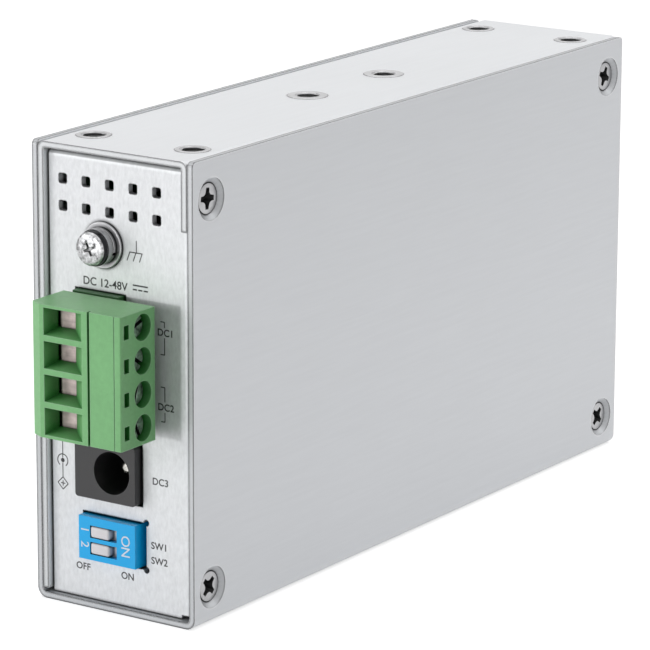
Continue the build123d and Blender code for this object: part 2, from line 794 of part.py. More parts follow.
# Power jack: a square flange and a smaller body round a blind bore
jack_half = jack_width / 2
jack_plane = Plane(origin=(jack_x, jack_front, jack_z), x_dir=(1, 0, 0), z_dir=(0, -1, 0))
with BuildPart() as dc_jack_body:
    flange_back = jack_front + jack_flange_length
    block((jack_low, jack_front, jack_z - jack_half), (jack_high, flange_back, jack_z + jack_half))
    fillet(dc_jack_body.edges().filter_by(Axis.Y), jack_corner_radius)
    block((board_face, flange_back, jack_z - jack_half + jack_step),
          (jack_high - jack_step, jack_back, jack_z + jack_half - jack_step))
    with BuildSketch(jack_plane):
        Circle(jack_bore_radius)
    extrude(amount=-jack_bore_depth, mode=Mode.SUBTRACT)
    with BuildSketch(jack_plane):
        Circle(jack_pin_radius + running_fit)
    extrude(amount=-jack_length, mode=Mode.SUBTRACT)
    fit = running_fit
    cut((jack_x - leaf_width / 2 - fit, leaf_y - leaf_length / 2 - fit, leaf_z - fit),
        (jack_x + leaf_width / 2 + fit, leaf_y + leaf_length / 2 + fit, leaf_z + leaf_thickness + fit))
    cut((board_face - 1, leaf_y - 0.5 - fit, leaf_z - fit), (jack_x, leaf_y + 0.5 + fit, leaf_z + leaf_thickness + fit))
keep(dc_jack_body.part, "dc_jack_body")

with BuildPart() as dc_jack_pin:
    with BuildSketch(jack_plane.offset(-jack_pin_recess)):
        Circle(jack_pin_radius)
    extrude(amount=-(jack_length - jack_pin_recess))
    fillet(dc_jack_pin.edges().sort_by(Axis.Y)[0], 0.6 * jack_pin_radius)
    block((board_back - 0.8, jack_back, jack_z - 0.9), (jack_x + jack_pin_radius, jack_tail_y + 0.25, jack_z + 0.9))
keep(dc_jack_pin.part, "dc_jack_pin")

with BuildPart() as dc_jack_spring:
    block((jack_x - leaf_width / 2, leaf_y - leaf_length / 2, leaf_z),
          (jack_x + leaf_width / 2, leaf_y + leaf_length / 2, leaf_z + leaf_thickness))
    block((board_back - 0.8, leaf_y - 0.5, leaf_z), (jack_x, leaf_y + 0.5, leaf_z + leaf_thickness))
keep(dc_jack_spring.part, "dc_jack_spring")

# Switch cover: a windowed front with one slider channel behind each window
channel_half = slider_body_height / 2 + running_fit
channel_left = switch_low + switch_wall
channel_end = switch_high - switch_wall
with BuildPart() as dip_cover:
    block((switch_low, switch_front, switch_z - switch_height / 2),
          (switch_high, switch_housing_back, switch_z + switch_height / 2))
    for z in slider_heights:
        cut((channel_left, switch_front + switch_front_wall, z - channel_half),
            (channel_end, switch_housing_back + 1, z + channel_half))
        half = window_height / 2
        cut((window_left, switch_front - 1, z - half), (window_right, switch_front + 2 * switch_front_wall, z + half))
keep(dip_cover.part, "dip_cover")

# Switch base: closes the cover from behind, with a rib into each channel and feet on the board
with BuildPart() as dip_base:
    block((board_face, switch_housing_back, switch_z - switch_height / 2),
          (switch_high, switch_base_back, switch_z + switch_height / 2))
    for z in slider_heights:
        half = slider_body_height / 2
        block((channel_left + running_fit, slider_back + running_fit, z - half),
              (channel_end - running_fit, switch_housing_back, z + half))
keep(dip_base.part, "dip_base")

# Sliders: a flat body in the channel and a raised knob in the window, at rest at OFF
knob_left = window_left + running_fit
knob_right = knob_left + slider_length
for number, z in enumerate(slider_heights, 1):
    with BuildPart() as dip_slider:
        half = slider_body_height / 2
        block((channel_left + running_fit, slider_front, z - half), (window_right + 0.2, slider_back, z + half))
        half = window_height / 2 - running_fit
        block((knob_left, switch_front - slider_stand, z - half), (knob_right, slider_front, z + half))
        top_edges = dip_slider.faces().sort_by(Axis.Y)[0].edges().filter_by(Axis.Z)
        chamfer(top_edges, 0.3)
    keep(dip_slider.part, f"dip_slider_{number}")

with BuildPart() as dip_pins:
    for row_x, row_y in zip((-switch_pin_spread / 2, switch_pin_spread / 2), pin_row_ys):
        for z in slider_heights:
            half = switch_pin_width / 2
            x = (switch_low + switch_high) / 2 + row_x
            block((x - half, switch_base_back, z - half), (x + half, row_y + half, z + half))
            block((board_back - 0.8, row_y - half, z - half), (x + half, row_y + half, z + half))
keep(dip_pins.part, "dip_pins")

# Network ports: a sheet shell round a moulded insert with the cavity for the plug
for number, z in enumerate(port_heights, 1):
    half = port_width / 2
    with BuildPart() as rj45_shell:
        block((board_face, port_back, z - half), (port_top, port_front, z + half))
        cut((board_face - 1, port_back + port_shell, z - half + port_shell),
            (port_top - port_shell, port_front - port_shell, z + half - port_shell))
        side = cavity_width / 2
        cut((cavity_low - latch_depth, port_front - 1, z - side), (cavity_high, port_front + 1, z + side))
    keep(rj45_shell.part, f"rj45_shell_{number}")

    gap = port_shell + running_fit
    with BuildPart() as rj45_insert:
        block((board_face, port_back + gap, z - half + gap), (port_top - gap, port_front - gap, z + half - gap))
        cut((cavity_low, cavity_back, z - side), (cavity_high, port_front + 1, z + side))
        latch = latch_width / 2
        cut((cavity_low - latch_depth, cavity_back, z - latch), (cavity_low + 1, port_front + 1, z + latch))
    keep(rj45_insert.part, f"rj45_insert_{number}")

# Port contacts: wires that slope from the cavity's roof down to its back wall
with BuildPart() as rj45_contacts:
    wire_front = cavity_back + 0.7 * cavity_depth
    wire_drop = cavity_high - contact_drop
    for port_height_z in port_heights:
        for i in range(contact_count):
            z = port_height_z + contact_pitch * (i - (contact_count - 1) / 2)
            with BuildSketch(Plane.XY.offset(z - contact_width / 2)):
                with BuildLine():
                    Polyline((wire_drop, cavity_back), (cavity_high, wire_front),
                             (cavity_high, wire_front - 4 * contact_thickness),
                             (wire_drop + contact_thickness, cavity_back), close=True)
                make_face()
            extrude(amount=contact_width)
keep(rj45_contacts.part, "rj45_contacts")

# Status lamps on the board and the clear pipe that carries their light to the far panel
lamp_y = pipe_plate_front - pipe_plate / 2
with BuildPart() as status_leds:
    half = lamp_chip_size / 2
    for z in status_heights:
        block((board_face, lamp_y - half, z - half), (board_face + lamp_chip_height, lamp_y + half, z + half))
keep(status_leds.part, "status_leds")

with BuildPart() as light_pipe:
    plate_back = pipe_plate_front - pipe_plate
    end_reach = lamp_chip_size / 2 + pipe_lamp_gap + pipe_plate
    plate_low = status_heights[0] - end_reach
    plate_high = status_heights[-1] + end_reach
    block((board_face, plate_back, plate_low), (pipe_x + pipe_radius, pipe_plate_front, plate_high))
    cut((board_face - 1, plate_back - 1, plate_low + pipe_plate),
        (board_face + lamp_chip_height + plug_fit, pipe_plate_front + 1, plate_high - pipe_plate))
    with BuildSketch(Plane(origin=(0, pipe_plate_front, 0), x_dir=(1, 0, 0), z_dir=(0, 1, 0))):
        with Locations(*[(pipe_x, -z) for z in status_heights]):
            Circle(pipe_radius)
    extrude(amount=port_front - pipe_plate_front)
keep(light_pipe.part, "light_pipe")


def on_board(centre, size, height, lift=0.0):
    """Add a flat part whose underside is lift millimetres above the board."""
    low = (board_face + lift, centre[0] - size[0] / 2, centre[1] - size[1] / 2)
    high = (board_face + lift + height, centre[0] + size[0] / 2, centre[1] + size[1] / 2)
    block(low, high)


# Processor with its pad and heat sink
processor_place = (processor_y, (board_bottom + board_top) / 2 + processor_above_middle)
with BuildPart() as main_processor:
    on_board(processor_place, (processor_size, processor_size), processor_height)
keep(main_processor.part, "main_processor")

with BuildPart() as thermal_pad:
    on_board(processor_place, (thermal_pad_size, thermal_pad_size), thermal_pad_height, processor_height)
keep(thermal_pad.part, "thermal_pad")

sink_lift = processor_height + thermal_pad_height
with BuildPart() as processor_heatsink:
    on_board(processor_place, (heat_sink_size, heat_sink_size), heat_sink_base, sink_lift)
    fin_pitch = (heat_sink_size - heat_sink_fin_width) / (heat_sink_fins - 1)
    for i in range(heat_sink_fins):
        fin_z = processor_place[1] + fin_pitch * (i - (heat_sink_fins - 1) / 2)
        on_board((processor_y, fin_z), (heat_sink_size, heat_sink_fin_width),
                 heat_sink_fin_height, sink_lift + heat_sink_base)
keep(processor_heatsink.part, "processor_heatsink")

# Memory below the heat sink, crystal above it
memory_z = processor_place[1] - heat_sink_size / 2 - memory_below_sink - memory_size[1] / 2
with BuildPart() as memory_chips:
    for direction in (-1, 1):
        memory_y = processor_y + direction * (memory_gap + memory_size[0]) / 2
        on_board((memory_y, memory_z), memory_size, memory_height)
keep(memory_chips.part, "memory_chips")

with BuildPart() as crystal:
    on_board((processor_y, processor_place[1] + heat_sink_size / 2 + crystal_above_sink), crystal_size, crystal_height)
    fillet(crystal.edges().filter_by(Axis.X), 0.45 * crystal_size[1])
keep(crystal.part, "crystal")

# Transformers behind the ports
with BuildPart() as transformers:
    for z in port_heights:
        on_board((port_back - transformer_from_ports, z), transformer_size, transformer_height)
keep(transformers.part, "transformers")

# Power supply parts behind the header
capacitor_places = [(header_back + capacitor_from_header + capacitor_pitch * i, case_height - capacitor_below_top)
                    for i in range(capacitor_count)]
with BuildPart() as capacitors:
    with BuildSketch(board_face_plane):
        with Locations(*capacitor_places):
            Circle(capacitor_radius)
    extrude(amount=capacitor_height)
    fillet(capacitors.faces().group_by(Axis.X)[-1].edges(), 0.1 * capacitor_radius)
keep(capacitors.part, "capacitors")

inductor_z = capacitor_places[0][1] - capacitor_radius - inductor_size / 2 - inductor_below_capacitor
inductor_y = capacitor_places[0][0] + inductor_shift_y
with BuildPart() as power_inductors:
    with BuildSketch(board_face_plane):
        with Locations(*[(inductor_y, inductor_z - inductor_pitch * i) for i in range(2)]):
            RectangleRounded(inductor_size, inductor_size, inductor_corner)
    extrude(amount=inductor_height)
    fillet(power_inductors.faces().group_by(Axis.X)[-1].edges(), 0.05 * inductor_size)
keep(power_inductors.part, "power_inductors")
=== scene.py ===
"""Industrial router in a folded sheet case: finishes, threads, print, lights and camera round its CAD frame."""

import logging
import math
from dataclasses import dataclass, replace
from enum import Enum

import bmesh
import bpy
from mathutils import Matrix, Vector


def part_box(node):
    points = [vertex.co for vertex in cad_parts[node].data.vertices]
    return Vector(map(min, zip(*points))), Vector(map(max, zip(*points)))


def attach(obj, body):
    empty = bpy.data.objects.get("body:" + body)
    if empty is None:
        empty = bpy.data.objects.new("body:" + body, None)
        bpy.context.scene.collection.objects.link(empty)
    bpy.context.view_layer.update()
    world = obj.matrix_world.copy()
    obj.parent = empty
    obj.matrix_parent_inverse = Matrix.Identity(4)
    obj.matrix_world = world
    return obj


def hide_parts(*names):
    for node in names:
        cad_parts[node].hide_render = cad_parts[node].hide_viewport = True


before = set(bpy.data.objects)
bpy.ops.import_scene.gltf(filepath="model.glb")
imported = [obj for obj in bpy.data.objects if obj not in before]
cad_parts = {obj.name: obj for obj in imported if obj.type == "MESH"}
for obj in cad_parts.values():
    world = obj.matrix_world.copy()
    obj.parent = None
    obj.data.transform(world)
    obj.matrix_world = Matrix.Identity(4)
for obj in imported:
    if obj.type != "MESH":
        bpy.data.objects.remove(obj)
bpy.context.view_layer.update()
LOG = logging.getLogger("router")
MM = 0.001
CASE = "enclosure"
WHITE = (1.0, 1.0, 1.0, 1.0)
SHARP_ANGLE = math.radians(35)
MERGE_DISTANCE = 1e-9
ON_AXIS = 1e-6
BUMP_DISTANCE = 0.00002

Pair = tuple[float, float]
Triple = tuple[float, float, float]
Path = tuple[Pair, ...]
Word = tuple[str, float, float, float]


class Facing(Enum):
    """Which way a piece that is drawn flat looks once it is in place."""

    FRONT = "front"
    RIGHT = "right"
    LEFT = "left"
    TOP = "top"


class Grain(Enum):
    """How a surface's fine texture runs, as its fineness along each axis."""

    ALONG_X = (0.4, 9.0, 9.0)
    ALONG_Y = (9.0, 0.4, 9.0)
    MOTTLED = (6.0, 6.0, 2.6)
    EVEN = (6.0, 6.0, 6.0)


FACING_TURN = {
    Facing.FRONT: Matrix(((1, 0, 0), (0, 0, -1), (0, 1, 0))),
    Facing.RIGHT: Matrix(((0, 0, 1), (1, 0, 0), (0, 1, 0))),
    Facing.LEFT: Matrix(((0, 0, -1), (-1, 0, 0), (0, 1, 0))),
    Facing.TOP: Matrix(((1, 0, 0), (0, 1, 0), (0, 0, 1))),
}


def place(facing: Facing, x: float, y: float, z: float, turn_deg: float = 0.0) -> Matrix:
    """Make the matrix that puts a piece drawn in millimetres, looking along +Z, onto the object.

    Args:
        facing: The way the piece looks once placed.
        x: Place along the row's X, in millimetres.
        y: Place along the row's Y, in millimetres.
        z: Place along the row's Z, in millimetres.
        turn_deg: Turn of the piece in its own plane, in degrees.

    Returns:
        The 4 by 4 matrix, from millimetres to the row frame's metres.
    """
    turn = FACING_TURN[facing].to_4x4() @ Matrix.Rotation(math.radians(turn_deg), 4, "Z")
    return Matrix.Translation((x * MM, y * MM, z * MM)) @ turn @ Matrix.Scale(MM, 4)


# ---- node building


def socket_kind(value: object) -> str:
    """Name the socket type that holds a value.

    Args:
        value: A starting value, or the socket type itself where the socket has none.

    Returns:
        The socket type.
    """
    if isinstance(value, str):
        return value
    if isinstance(value, int):
        return "NodeSocketInt"
    if isinstance(value, float):
        return "NodeSocketFloat"
    return "NodeSocketVector" if len(value) == 3 else "NodeSocketColor"


class Bench:
    """Adds nodes to one tree and feeds their inputs from sockets or plain values."""

    def __init__(self, tree: bpy.types.NodeTree) -> None:
        """Work on a tree."""
        self.tree = tree

    @classmethod
    def group(cls, name: str, kind: str, inputs: dict[str, object], outputs: dict[str, str]) -> "Bench":
        """Open a new node group with named sockets.

        Args:
            name: The group's name.
            kind: The type of its tree.
            inputs: Starting value of each input by name, or its socket type where it has none.
            outputs: Socket type of each output by name.

        Returns:
            The bench that works on the group.
        """
        tree = bpy.data.node_groups.new(name, kind)
        for label, socket_type in outputs.items():
            tree.interface.new_socket(label, in_out="OUTPUT", socket_type=socket_type)
        for label, value in inputs.items():
            socket = tree.interface.new_socket(label, in_out="INPUT", socket_type=socket_kind(value))
            if not isinstance(value, str):
                socket.default_value = value
        tree.nodes.new("NodeGroupInput").name = "In"
        tree.nodes.new("NodeGroupOutput").name = "Out"
        return cls(tree)

    def given(self, label: str) -> bpy.types.NodeSocket:
        """Return one of the group's own inputs."""
        return self.tree.nodes["In"].outputs[label]

    def give(self, label: str, socket: bpy.types.NodeSocket) -> None:
        """Link a socket to one of the group's outputs."""
        self.tree.links.new(socket, self.tree.nodes["Out"].inputs[label])

    def feed(self, target: bpy.types.NodeSocket, value: object) -> None:
        """Link a socket to an input, or set the input to a plain value.

        Args:
            target: The input.
            value: The socket or the plain value.
        """
        if isinstance(value, bpy.types.NodeSocket):
            self.tree.links.new(value, target)
        else:
            target.default_value = value

    def add(self, kind: str, feeds: dict[str | int, object] | None = None, **settings: object) -> bpy.types.Node:
        """Add a node.

        Args:
            kind: The node's type.
            feeds: A socket or plain value for each input, by the input's name or number.
            **settings: The node's own settings, made before its inputs are fed.

        Returns:
            The node.
        """
        node = self.tree.nodes.new(kind)
        for name, value in settings.items():
            setattr(node, name, value)
        for slot, value in (feeds or {}).items():
            self.feed(node.inputs[slot], value)
        return node

    def shared(self, group: bpy.types.NodeTree, feeds: dict[str, object]) -> bpy.types.NodeOutputs:
        """Place a shared group in a material and return its outputs."""
        return self.add("ShaderNodeGroup", feeds, node_tree=group).outputs

    def math(self, operation: str, first: object, second: object = 0.0) -> bpy.types.NodeSocket:
        """Combine sockets or numbers with a Math node and return the result."""
        return self.add("ShaderNodeMath", {0: first, 1: second}, operation=operation).outputs[0]

    def scaled(self, color: bpy.types.NodeSocket, level: bpy.types.NodeSocket) -> bpy.types.NodeSocket:
        """Multiply a colour by a number and return the result."""
        return self.add("ShaderNodeVectorMath", {0: color, "Scale": level}, operation="SCALE").outputs[0]

    def mixed(self, share: object, first: object, second: object) -> bpy.types.NodeSocket:
        """Mix two colours and return the result."""
        return self.add("ShaderNodeMix", {"Factor": share, "A": first, "B": second}, data_type="RGBA").outputs["Result"]

    def ramp(self, value: object, start: object, end: object, low: float = 0.0, high: float = 1.0
             ) -> bpy.types.NodeSocket:
        """Stretch a value from one range to another, held at the new range's ends.

        Args:
            value: The value.
            start: Where the old range starts.
            end: Where it ends.
            low: What the start becomes.
            high: What the end becomes.

        Returns:
            The stretched value.
        """
        feeds = {"Value": value, "From Min": start, "From Max": end, "To Min": low, "To Max": high}
        return self.add("ShaderNodeMapRange", feeds).outputs["Result"]


# ---- shader groups


class ShaderKit:
    """Builds the node groups that several finishes share."""

    BEVEL_SAMPLES = 4
    # Samples and range of the Ambient Occlusion mask that paints shade into crevices.
    SHADE_SAMPLES = 8
    SHADE_RANGE = (0.95, 0.5)
    # Ranges of the mask that darkens cut edges and paints shade on upward faces and dimple walls.
    FACING_CUT_AND_SHADE_RANGE = (0.6, 0.85)
    DIMPLE_SHADE_ALONG_RANGE = (0.1, 0.45)
    DIMPLE_SHADE_ACROSS_RANGE = (0.25, 0.5)
    # How dark the painted shade rim along the masked edges is.
    RIM_SHADE_DEPTH = 0.92

    def __init__(self) -> None:
        """Build each group once."""
        self.grain = self.build_grain()
        self.edge = self.build_edge()
        self.seam = self.build_crevice_shade()
        # The cut group marks cut sheet edges and also paints shade on dimple walls and upward faces.
        self.cut = self.build_cut_and_facing_shade()
        self.tint = self.build_tint()

    @staticmethod
    def build_grain() -> bpy.types.NodeTree:
        """Build the fine surface texture: a stretched noise, and a softer cloud.

        Returns:
            The group.
        """
        bench = Bench.group(
            "surface_grain", "ShaderNodeTree", {"Stretch": (6.0, 6.0, 6.0), "Fineness": 100.0, "Cloud Size": 60.0},
            {"Grain": "NodeSocketFloat", "Cloud": "NodeSocketFloat"})
        coords = bench.add("ShaderNodeTexCoord").outputs["Object"]
        stretched = bench.add("ShaderNodeVectorMath", {0: coords, 1: bench.given("Stretch")}, operation="MULTIPLY")
        fine = bench.add("ShaderNodeTexNoise", {
            "Vector": stretched.outputs[0], "Scale": bench.given("Fineness"), "Detail": 3.0, "Roughness": 0.62})
        cloud = bench.add("ShaderNodeTexNoise", {
            "Vector": coords, "Scale": bench.given("Cloud Size"), "Detail": 4.0})
        bench.give("Grain", fine.outputs["Fac"])
        bench.give("Cloud", cloud.outputs["Fac"])
        return bench.tree

    @classmethod
    def build_edge(cls) -> bpy.types.NodeTree:
        """Build the softened edge: a rounded normal, and a mask that is high where an edge bends.

        Returns:
            The group.
        """
        bench = Bench.group("soft_edge", "ShaderNodeTree", {"Radius": 0.0002, "Start": 0.99, "Full": 0.82},
                            {"Normal": "NodeSocketVector", "Edge": "NodeSocketFloat"})
        rounded = bench.add("ShaderNodeBevel", {"Radius": bench.given("Radius")}, samples=cls.BEVEL_SAMPLES)
        flat = bench.add("ShaderNodeNewGeometry").outputs["True Normal"]
        alike = bench.add("ShaderNodeVectorMath", {0: rounded.outputs["Normal"], 1: flat}, operation="DOT_PRODUCT")
        bench.give("Normal", rounded.outputs["Normal"])
        bench.give("Edge", bench.ramp(alike.outputs["Value"], bench.given("Start"), bench.given("Full")))
        return bench.tree

    @classmethod
    def build_crevice_shade(cls) -> bpy.types.NodeTree:
        """Build the painted crevice shade: an Ambient Occlusion mask that is high in holes and recesses and where
        another surface stands close, and that darkens the colour there.

        Returns:
            The group.
        """
        bench = Bench.group("painted_crevice_shade", "ShaderNodeTree", {"Reach": 0.001}, {"Seam": "NodeSocketFloat"})
        sky = bench.add("ShaderNodeAmbientOcclusion", {"Distance": bench.given("Reach")}, samples=cls.SHADE_SAMPLES)
        bench.give("Seam", bench.ramp(sky.outputs["AO"], *cls.SHADE_RANGE))
        return bench.tree

    @classmethod
    def build_cut_and_facing_shade(cls) -> bpy.types.NodeTree:
        """Build the mask that darkens faces looking along Y or up, and the pressed dimples' slanted walls: on the cover
        and chassis the faces along Y are their cut sheet edges, while the darkened dimple walls, and the end panel's
        darkened upward faces at its top bend and holes, are painted shade.

        Returns:
            The group.
        """
        bench = Bench.group("cut_edge_and_facing_shade", "ShaderNodeTree", {"Ends": 1.0, "Upper": 0.0}, {"Cut": "NodeSocketFloat"})
        facing = bench.add("ShaderNodeTexCoord").outputs["Normal"]
        split = bench.add("ShaderNodeSeparateXYZ", {0: facing}).outputs
        along, across = bench.math("ABSOLUTE", split["Y"]), bench.math("ABSOLUTE", split["X"])
        ends = bench.math("MULTIPLY", along, bench.given("Ends"))
        upper = bench.math("MULTIPLY", split["Z"], bench.given("Upper"))
        flat = bench.ramp(bench.math("MAXIMUM", ends, upper), *cls.FACING_CUT_AND_SHADE_RANGE)
        dimple_shade = bench.math("MULTIPLY", bench.ramp(along, *cls.DIMPLE_SHADE_ALONG_RANGE),
                            bench.ramp(across, *cls.DIMPLE_SHADE_ACROSS_RANGE))
        bench.give("Cut", bench.math("MAXIMUM", flat, dimple_shade))
        return bench.tree

    @classmethod
    def build_tint(cls) -> bpy.types.NodeTree:
        """Build the colour mix: a base that changes with the grain and cloud texture and the cut-edge mask, with
        painted shade on dimple walls and upward faces, a painted dark rim along those edges, a painted edge line
        elsewhere (a highlight, or a dark outline on the end panel) and painted crevice shade.

        Returns:
            The group.
        """
        bench = Bench.group("shaded_tint", "ShaderNodeTree", {
            "Base": (0.5, 0.5, 0.5, 1.0), "Painted Edge Line": (0.8, 0.8, 0.8, 1.0), "Shade Color": (0.0, 0.0, 0.0, 1.0), "Grain": 0.5,
            "Cloud": 0.5, "Edge": 0.0, "Seam": 0.0, "Cut": 0.0, "Grain Depth": 0.1, "Cloud Depth": 0.1, "Painted Edge Share": 0.3,
            "Shade Depth": 0.7, "Cut Level": 0.6}, {"Color": "NodeSocketColor"})
        given, math_of = bench.given, bench.math
        grain = math_of("MULTIPLY", math_of("SUBTRACT", given("Grain"), 0.5), given("Grain Depth"))
        cloud = math_of("MULTIPLY", math_of("SUBTRACT", given("Cloud"), 0.5), given("Cloud Depth"))
        texture = math_of("ADD", math_of("ADD", grain, cloud), 1.0)
        clear_of_cut_and_shade = math_of("SUBTRACT", 1.0, given("Cut"))
        cut_and_shade_scale = math_of("ADD", clear_of_cut_and_shade, math_of("MULTIPLY", given("Cut"), given("Cut Level")))
        # Painted shade: a dark rim along the edges of the masked faces.
        painted_rim_shade = math_of("MULTIPLY", math_of("MULTIPLY", given("Edge"), given("Cut")), cls.RIM_SHADE_DEPTH)
        # Painted edge line along the other edges: a highlight, or a dark outline on the end panel.
        painted_edge_line = math_of("MULTIPLY", math_of("MULTIPLY", given("Edge"), given("Painted Edge Share")), clear_of_cut_and_shade)
        # Painted shade in crevices, holes and seams, from the Ambient Occlusion mask.
        painted_shade = math_of("MULTIPLY", given("Seam"), given("Shade Depth"))
        plain = bench.scaled(given("Base"), math_of("MULTIPLY", texture, cut_and_shade_scale))
        surface = bench.scaled(bench.mixed(painted_edge_line, plain, given("Painted Edge Line")), math_of("SUBTRACT", 1.0, painted_rim_shade))
        bench.give("Color", bench.mixed(painted_shade, surface, given("Shade Color")))
        return bench.tree


# ---- finishes


@dataclass(frozen=True)
class Finish:
    """One surface finish, with the numbers that its material is built from."""

    name: str
    base: Triple
    # painted_edge_line is the colour painted along edges, a painted highlight on most finishes and a painted dark
    # outline on the end panel; painted_edge_share sets how much of it shows.
    painted_edge_line: Triple
    metallic: float = 0.0
    roughness: float = 0.5
    roughness_swing: float = 0.08
    grain: Grain = Grain.EVEN
    fineness: float = 60.0
    cloud_size: float = 60.0
    grain_depth: float = 0.1
    cloud_depth: float = 0.1
    painted_edge_share: float = 0.3
    edge_radius: float = 0.00015
    bump: float = 0.1
    transmission: float = 0.0
    # shade_reach, shade_depth and shade_color paint shade into crevices, holes and seams from an Ambient Occlusion
    # mask.
    shade_reach: float = 0.0008
    shade_depth: float = 0.7
    shade_color: Triple = (0.0, 0.0, 0.0)
    # cut_ends darkens cut sheet edges that look along Y; upward_cut_and_shade paints shade on upward faces, and any use
    # of the mask also paints shade on dimple walls.
    cut_ends: float = 0.0
    upward_cut_and_shade: float = 0.0
    cut_and_shade_level: float = 0.6
    edge_start: float = 0.99
    edge_full: float = 0.82

    def build(self, kit: ShaderKit) -> bpy.types.Material:
        """Build the material.

        Args:
            kit: The shared shader groups.

        Returns:
            The finished material.
        """
        material = bpy.data.materials.new(self.name)
        material.use_nodes = True
        material.diffuse_color = (*self.base, 1.0)
        bench = Bench(material.node_tree)
        shader = material.node_tree.nodes["Principled BSDF"].inputs
        shader["Metallic"].default_value = self.metallic
        shader["Transmission Weight"].default_value = self.transmission
        grain = bench.shared(kit.grain, {
            "Stretch": self.grain.value, "Fineness": self.fineness, "Cloud Size": self.cloud_size})
        edge = bench.shared(kit.edge, {"Radius": self.edge_radius, "Start": self.edge_start, "Full": self.edge_full})
        seam = bench.shared(kit.seam, {"Reach": self.shade_reach})
        tint = {
            "Base": (*self.base, 1.0), "Painted Edge Line": (*self.painted_edge_line, 1.0), "Shade Color": (*self.shade_color, 1.0), "Grain": grain["Grain"],
            "Cloud": grain["Cloud"], "Edge": edge["Edge"], "Seam": seam["Seam"], "Grain Depth": self.grain_depth,
            "Cloud Depth": self.cloud_depth, "Painted Edge Share": self.painted_edge_share, "Shade Depth": self.shade_depth,
            "Cut Level": self.cut_and_shade_level}
        if self.cut_ends or self.upward_cut_and_shade:
            tint["Cut"] = bench.shared(kit.cut, {"Ends": self.cut_ends, "Upper": self.upward_cut_and_shade})["Cut"]
        bench.feed(shader["Base Color"], bench.shared(kit.tint, tint)["Color"])
        smooth, rough = self.roughness - self.roughness_swing, self.roughness + self.roughness_swing
        bench.feed(shader["Roughness"], bench.ramp(grain["Cloud"], 0.0, 1.0, smooth, rough))
        bump = bench.add("ShaderNodeBump", {
            "Strength": self.bump, "Distance": BUMP_DISTANCE, "Height": grain["Grain"], "Normal": edge["Normal"]})
        bench.feed(shader["Normal"], bump.outputs["Normal"])
        return material


# Sheet finishes: their edge line is a painted highlight, their seam darkening painted shade, and their cut level
# darkens cut edges and paints shade on dimple walls.
SHEET = Finish(
    "satin_case_sheet", base=(0.79, 0.805, 0.825), painted_edge_line=(0.97, 0.97, 0.99), metallic=0.4, roughness=0.38,
    roughness_swing=0.05, fineness=190.0, cloud_size=30.0, grain_depth=0.07, cloud_depth=0.06, painted_edge_share=0.75,
    edge_radius=0.0005, bump=0.12, shade_reach=0.0004, shade_depth=0.6, cut_and_shade_level=0.72, edge_start=0.998, edge_full=0.975)
# The cover's sides and the chassis top are one sheet metal: the sides' darker base is painted shade and the top's
# lighter base painted light.
SHADED_SIDE_SHEET = replace(
    SHEET, name="satin_case_side_shaded", base=(0.725, 0.74, 0.765), grain=Grain.ALONG_Y, cut_ends=1.0, upward_cut_and_shade=1.0)
LIT_TOP_SHEET = replace(SHEET, name="satin_case_top_lit", base=(0.825, 0.84, 0.86), grain=Grain.ALONG_Y, cut_ends=1.0)
# The end panel's dark edge line is a painted outline of shade, and its upward weight paints shade on the top bend and
# on the walls of its holes that look up.
PANEL_SHEET = replace(
    SHEET, name="satin_end_panel", base=(0.76, 0.77, 0.79), painted_edge_line=(0.2, 0.2, 0.21), metallic=0.22, grain=Grain.MOTTLED,
    fineness=330.0, grain_depth=0.36, cloud_depth=0.09, painted_edge_share=0.9, edge_radius=0.0002, bump=0.2, shade_reach=0.0006,
    shade_depth=0.97, upward_cut_and_shade=2.5, cut_and_shade_level=0.55, edge_start=0.99, edge_full=0.82)
SCREW_STEEL = Finish(
    "bright_screw_steel", base=(0.45, 0.45, 0.46), painted_edge_line=(0.9, 0.9, 0.9), metallic=0.9, roughness=0.3, fineness=160.0,
    cloud_size=220.0, grain_depth=0.3, cloud_depth=0.5, painted_edge_share=0.55, edge_radius=0.00012, bump=0.2, shade_reach=0.0007,
    shade_depth=0.9)
# The insert's bore takes strong painted shade.
INSERT_STEEL = Finish(
    "threaded_insert_steel", base=(0.5, 0.5, 0.51), painted_edge_line=(0.95, 0.95, 0.95), metallic=0.8, roughness=0.3,
    fineness=160.0, cloud_size=220.0, grain_depth=0.3, cloud_depth=0.5, painted_edge_share=0.6, edge_radius=0.00012, bump=0.2,
    shade_reach=0.0028, shade_depth=0.95)
HEAD_FACE = Finish(
    "mottled_head_face", base=(0.44, 0.44, 0.45), painted_edge_line=(0.95, 0.95, 0.95), metallic=0.7, roughness=0.4,
    roughness_swing=0.12, fineness=300.0, cloud_size=1500.0, grain_depth=4.0, cloud_depth=2.0, painted_edge_share=0.6,
    edge_radius=0.00014, bump=0.6, shade_reach=0.0006, shade_depth=0.8)
# The ground screw's head side is the same steel as its face: its near-black base is painted shade.
SHADED_HEAD_SIDE = Finish(
    "painted_shade_head_side", base=(0.035, 0.035, 0.038), painted_edge_line=(0.55, 0.55, 0.57), metallic=0.9, roughness=0.28,
    fineness=160.0, cloud_size=220.0, grain_depth=0.3, cloud_depth=0.4, painted_edge_share=0.6, edge_radius=0.00012, bump=0.15,
    shade_reach=0.0007, shade_depth=0.9)
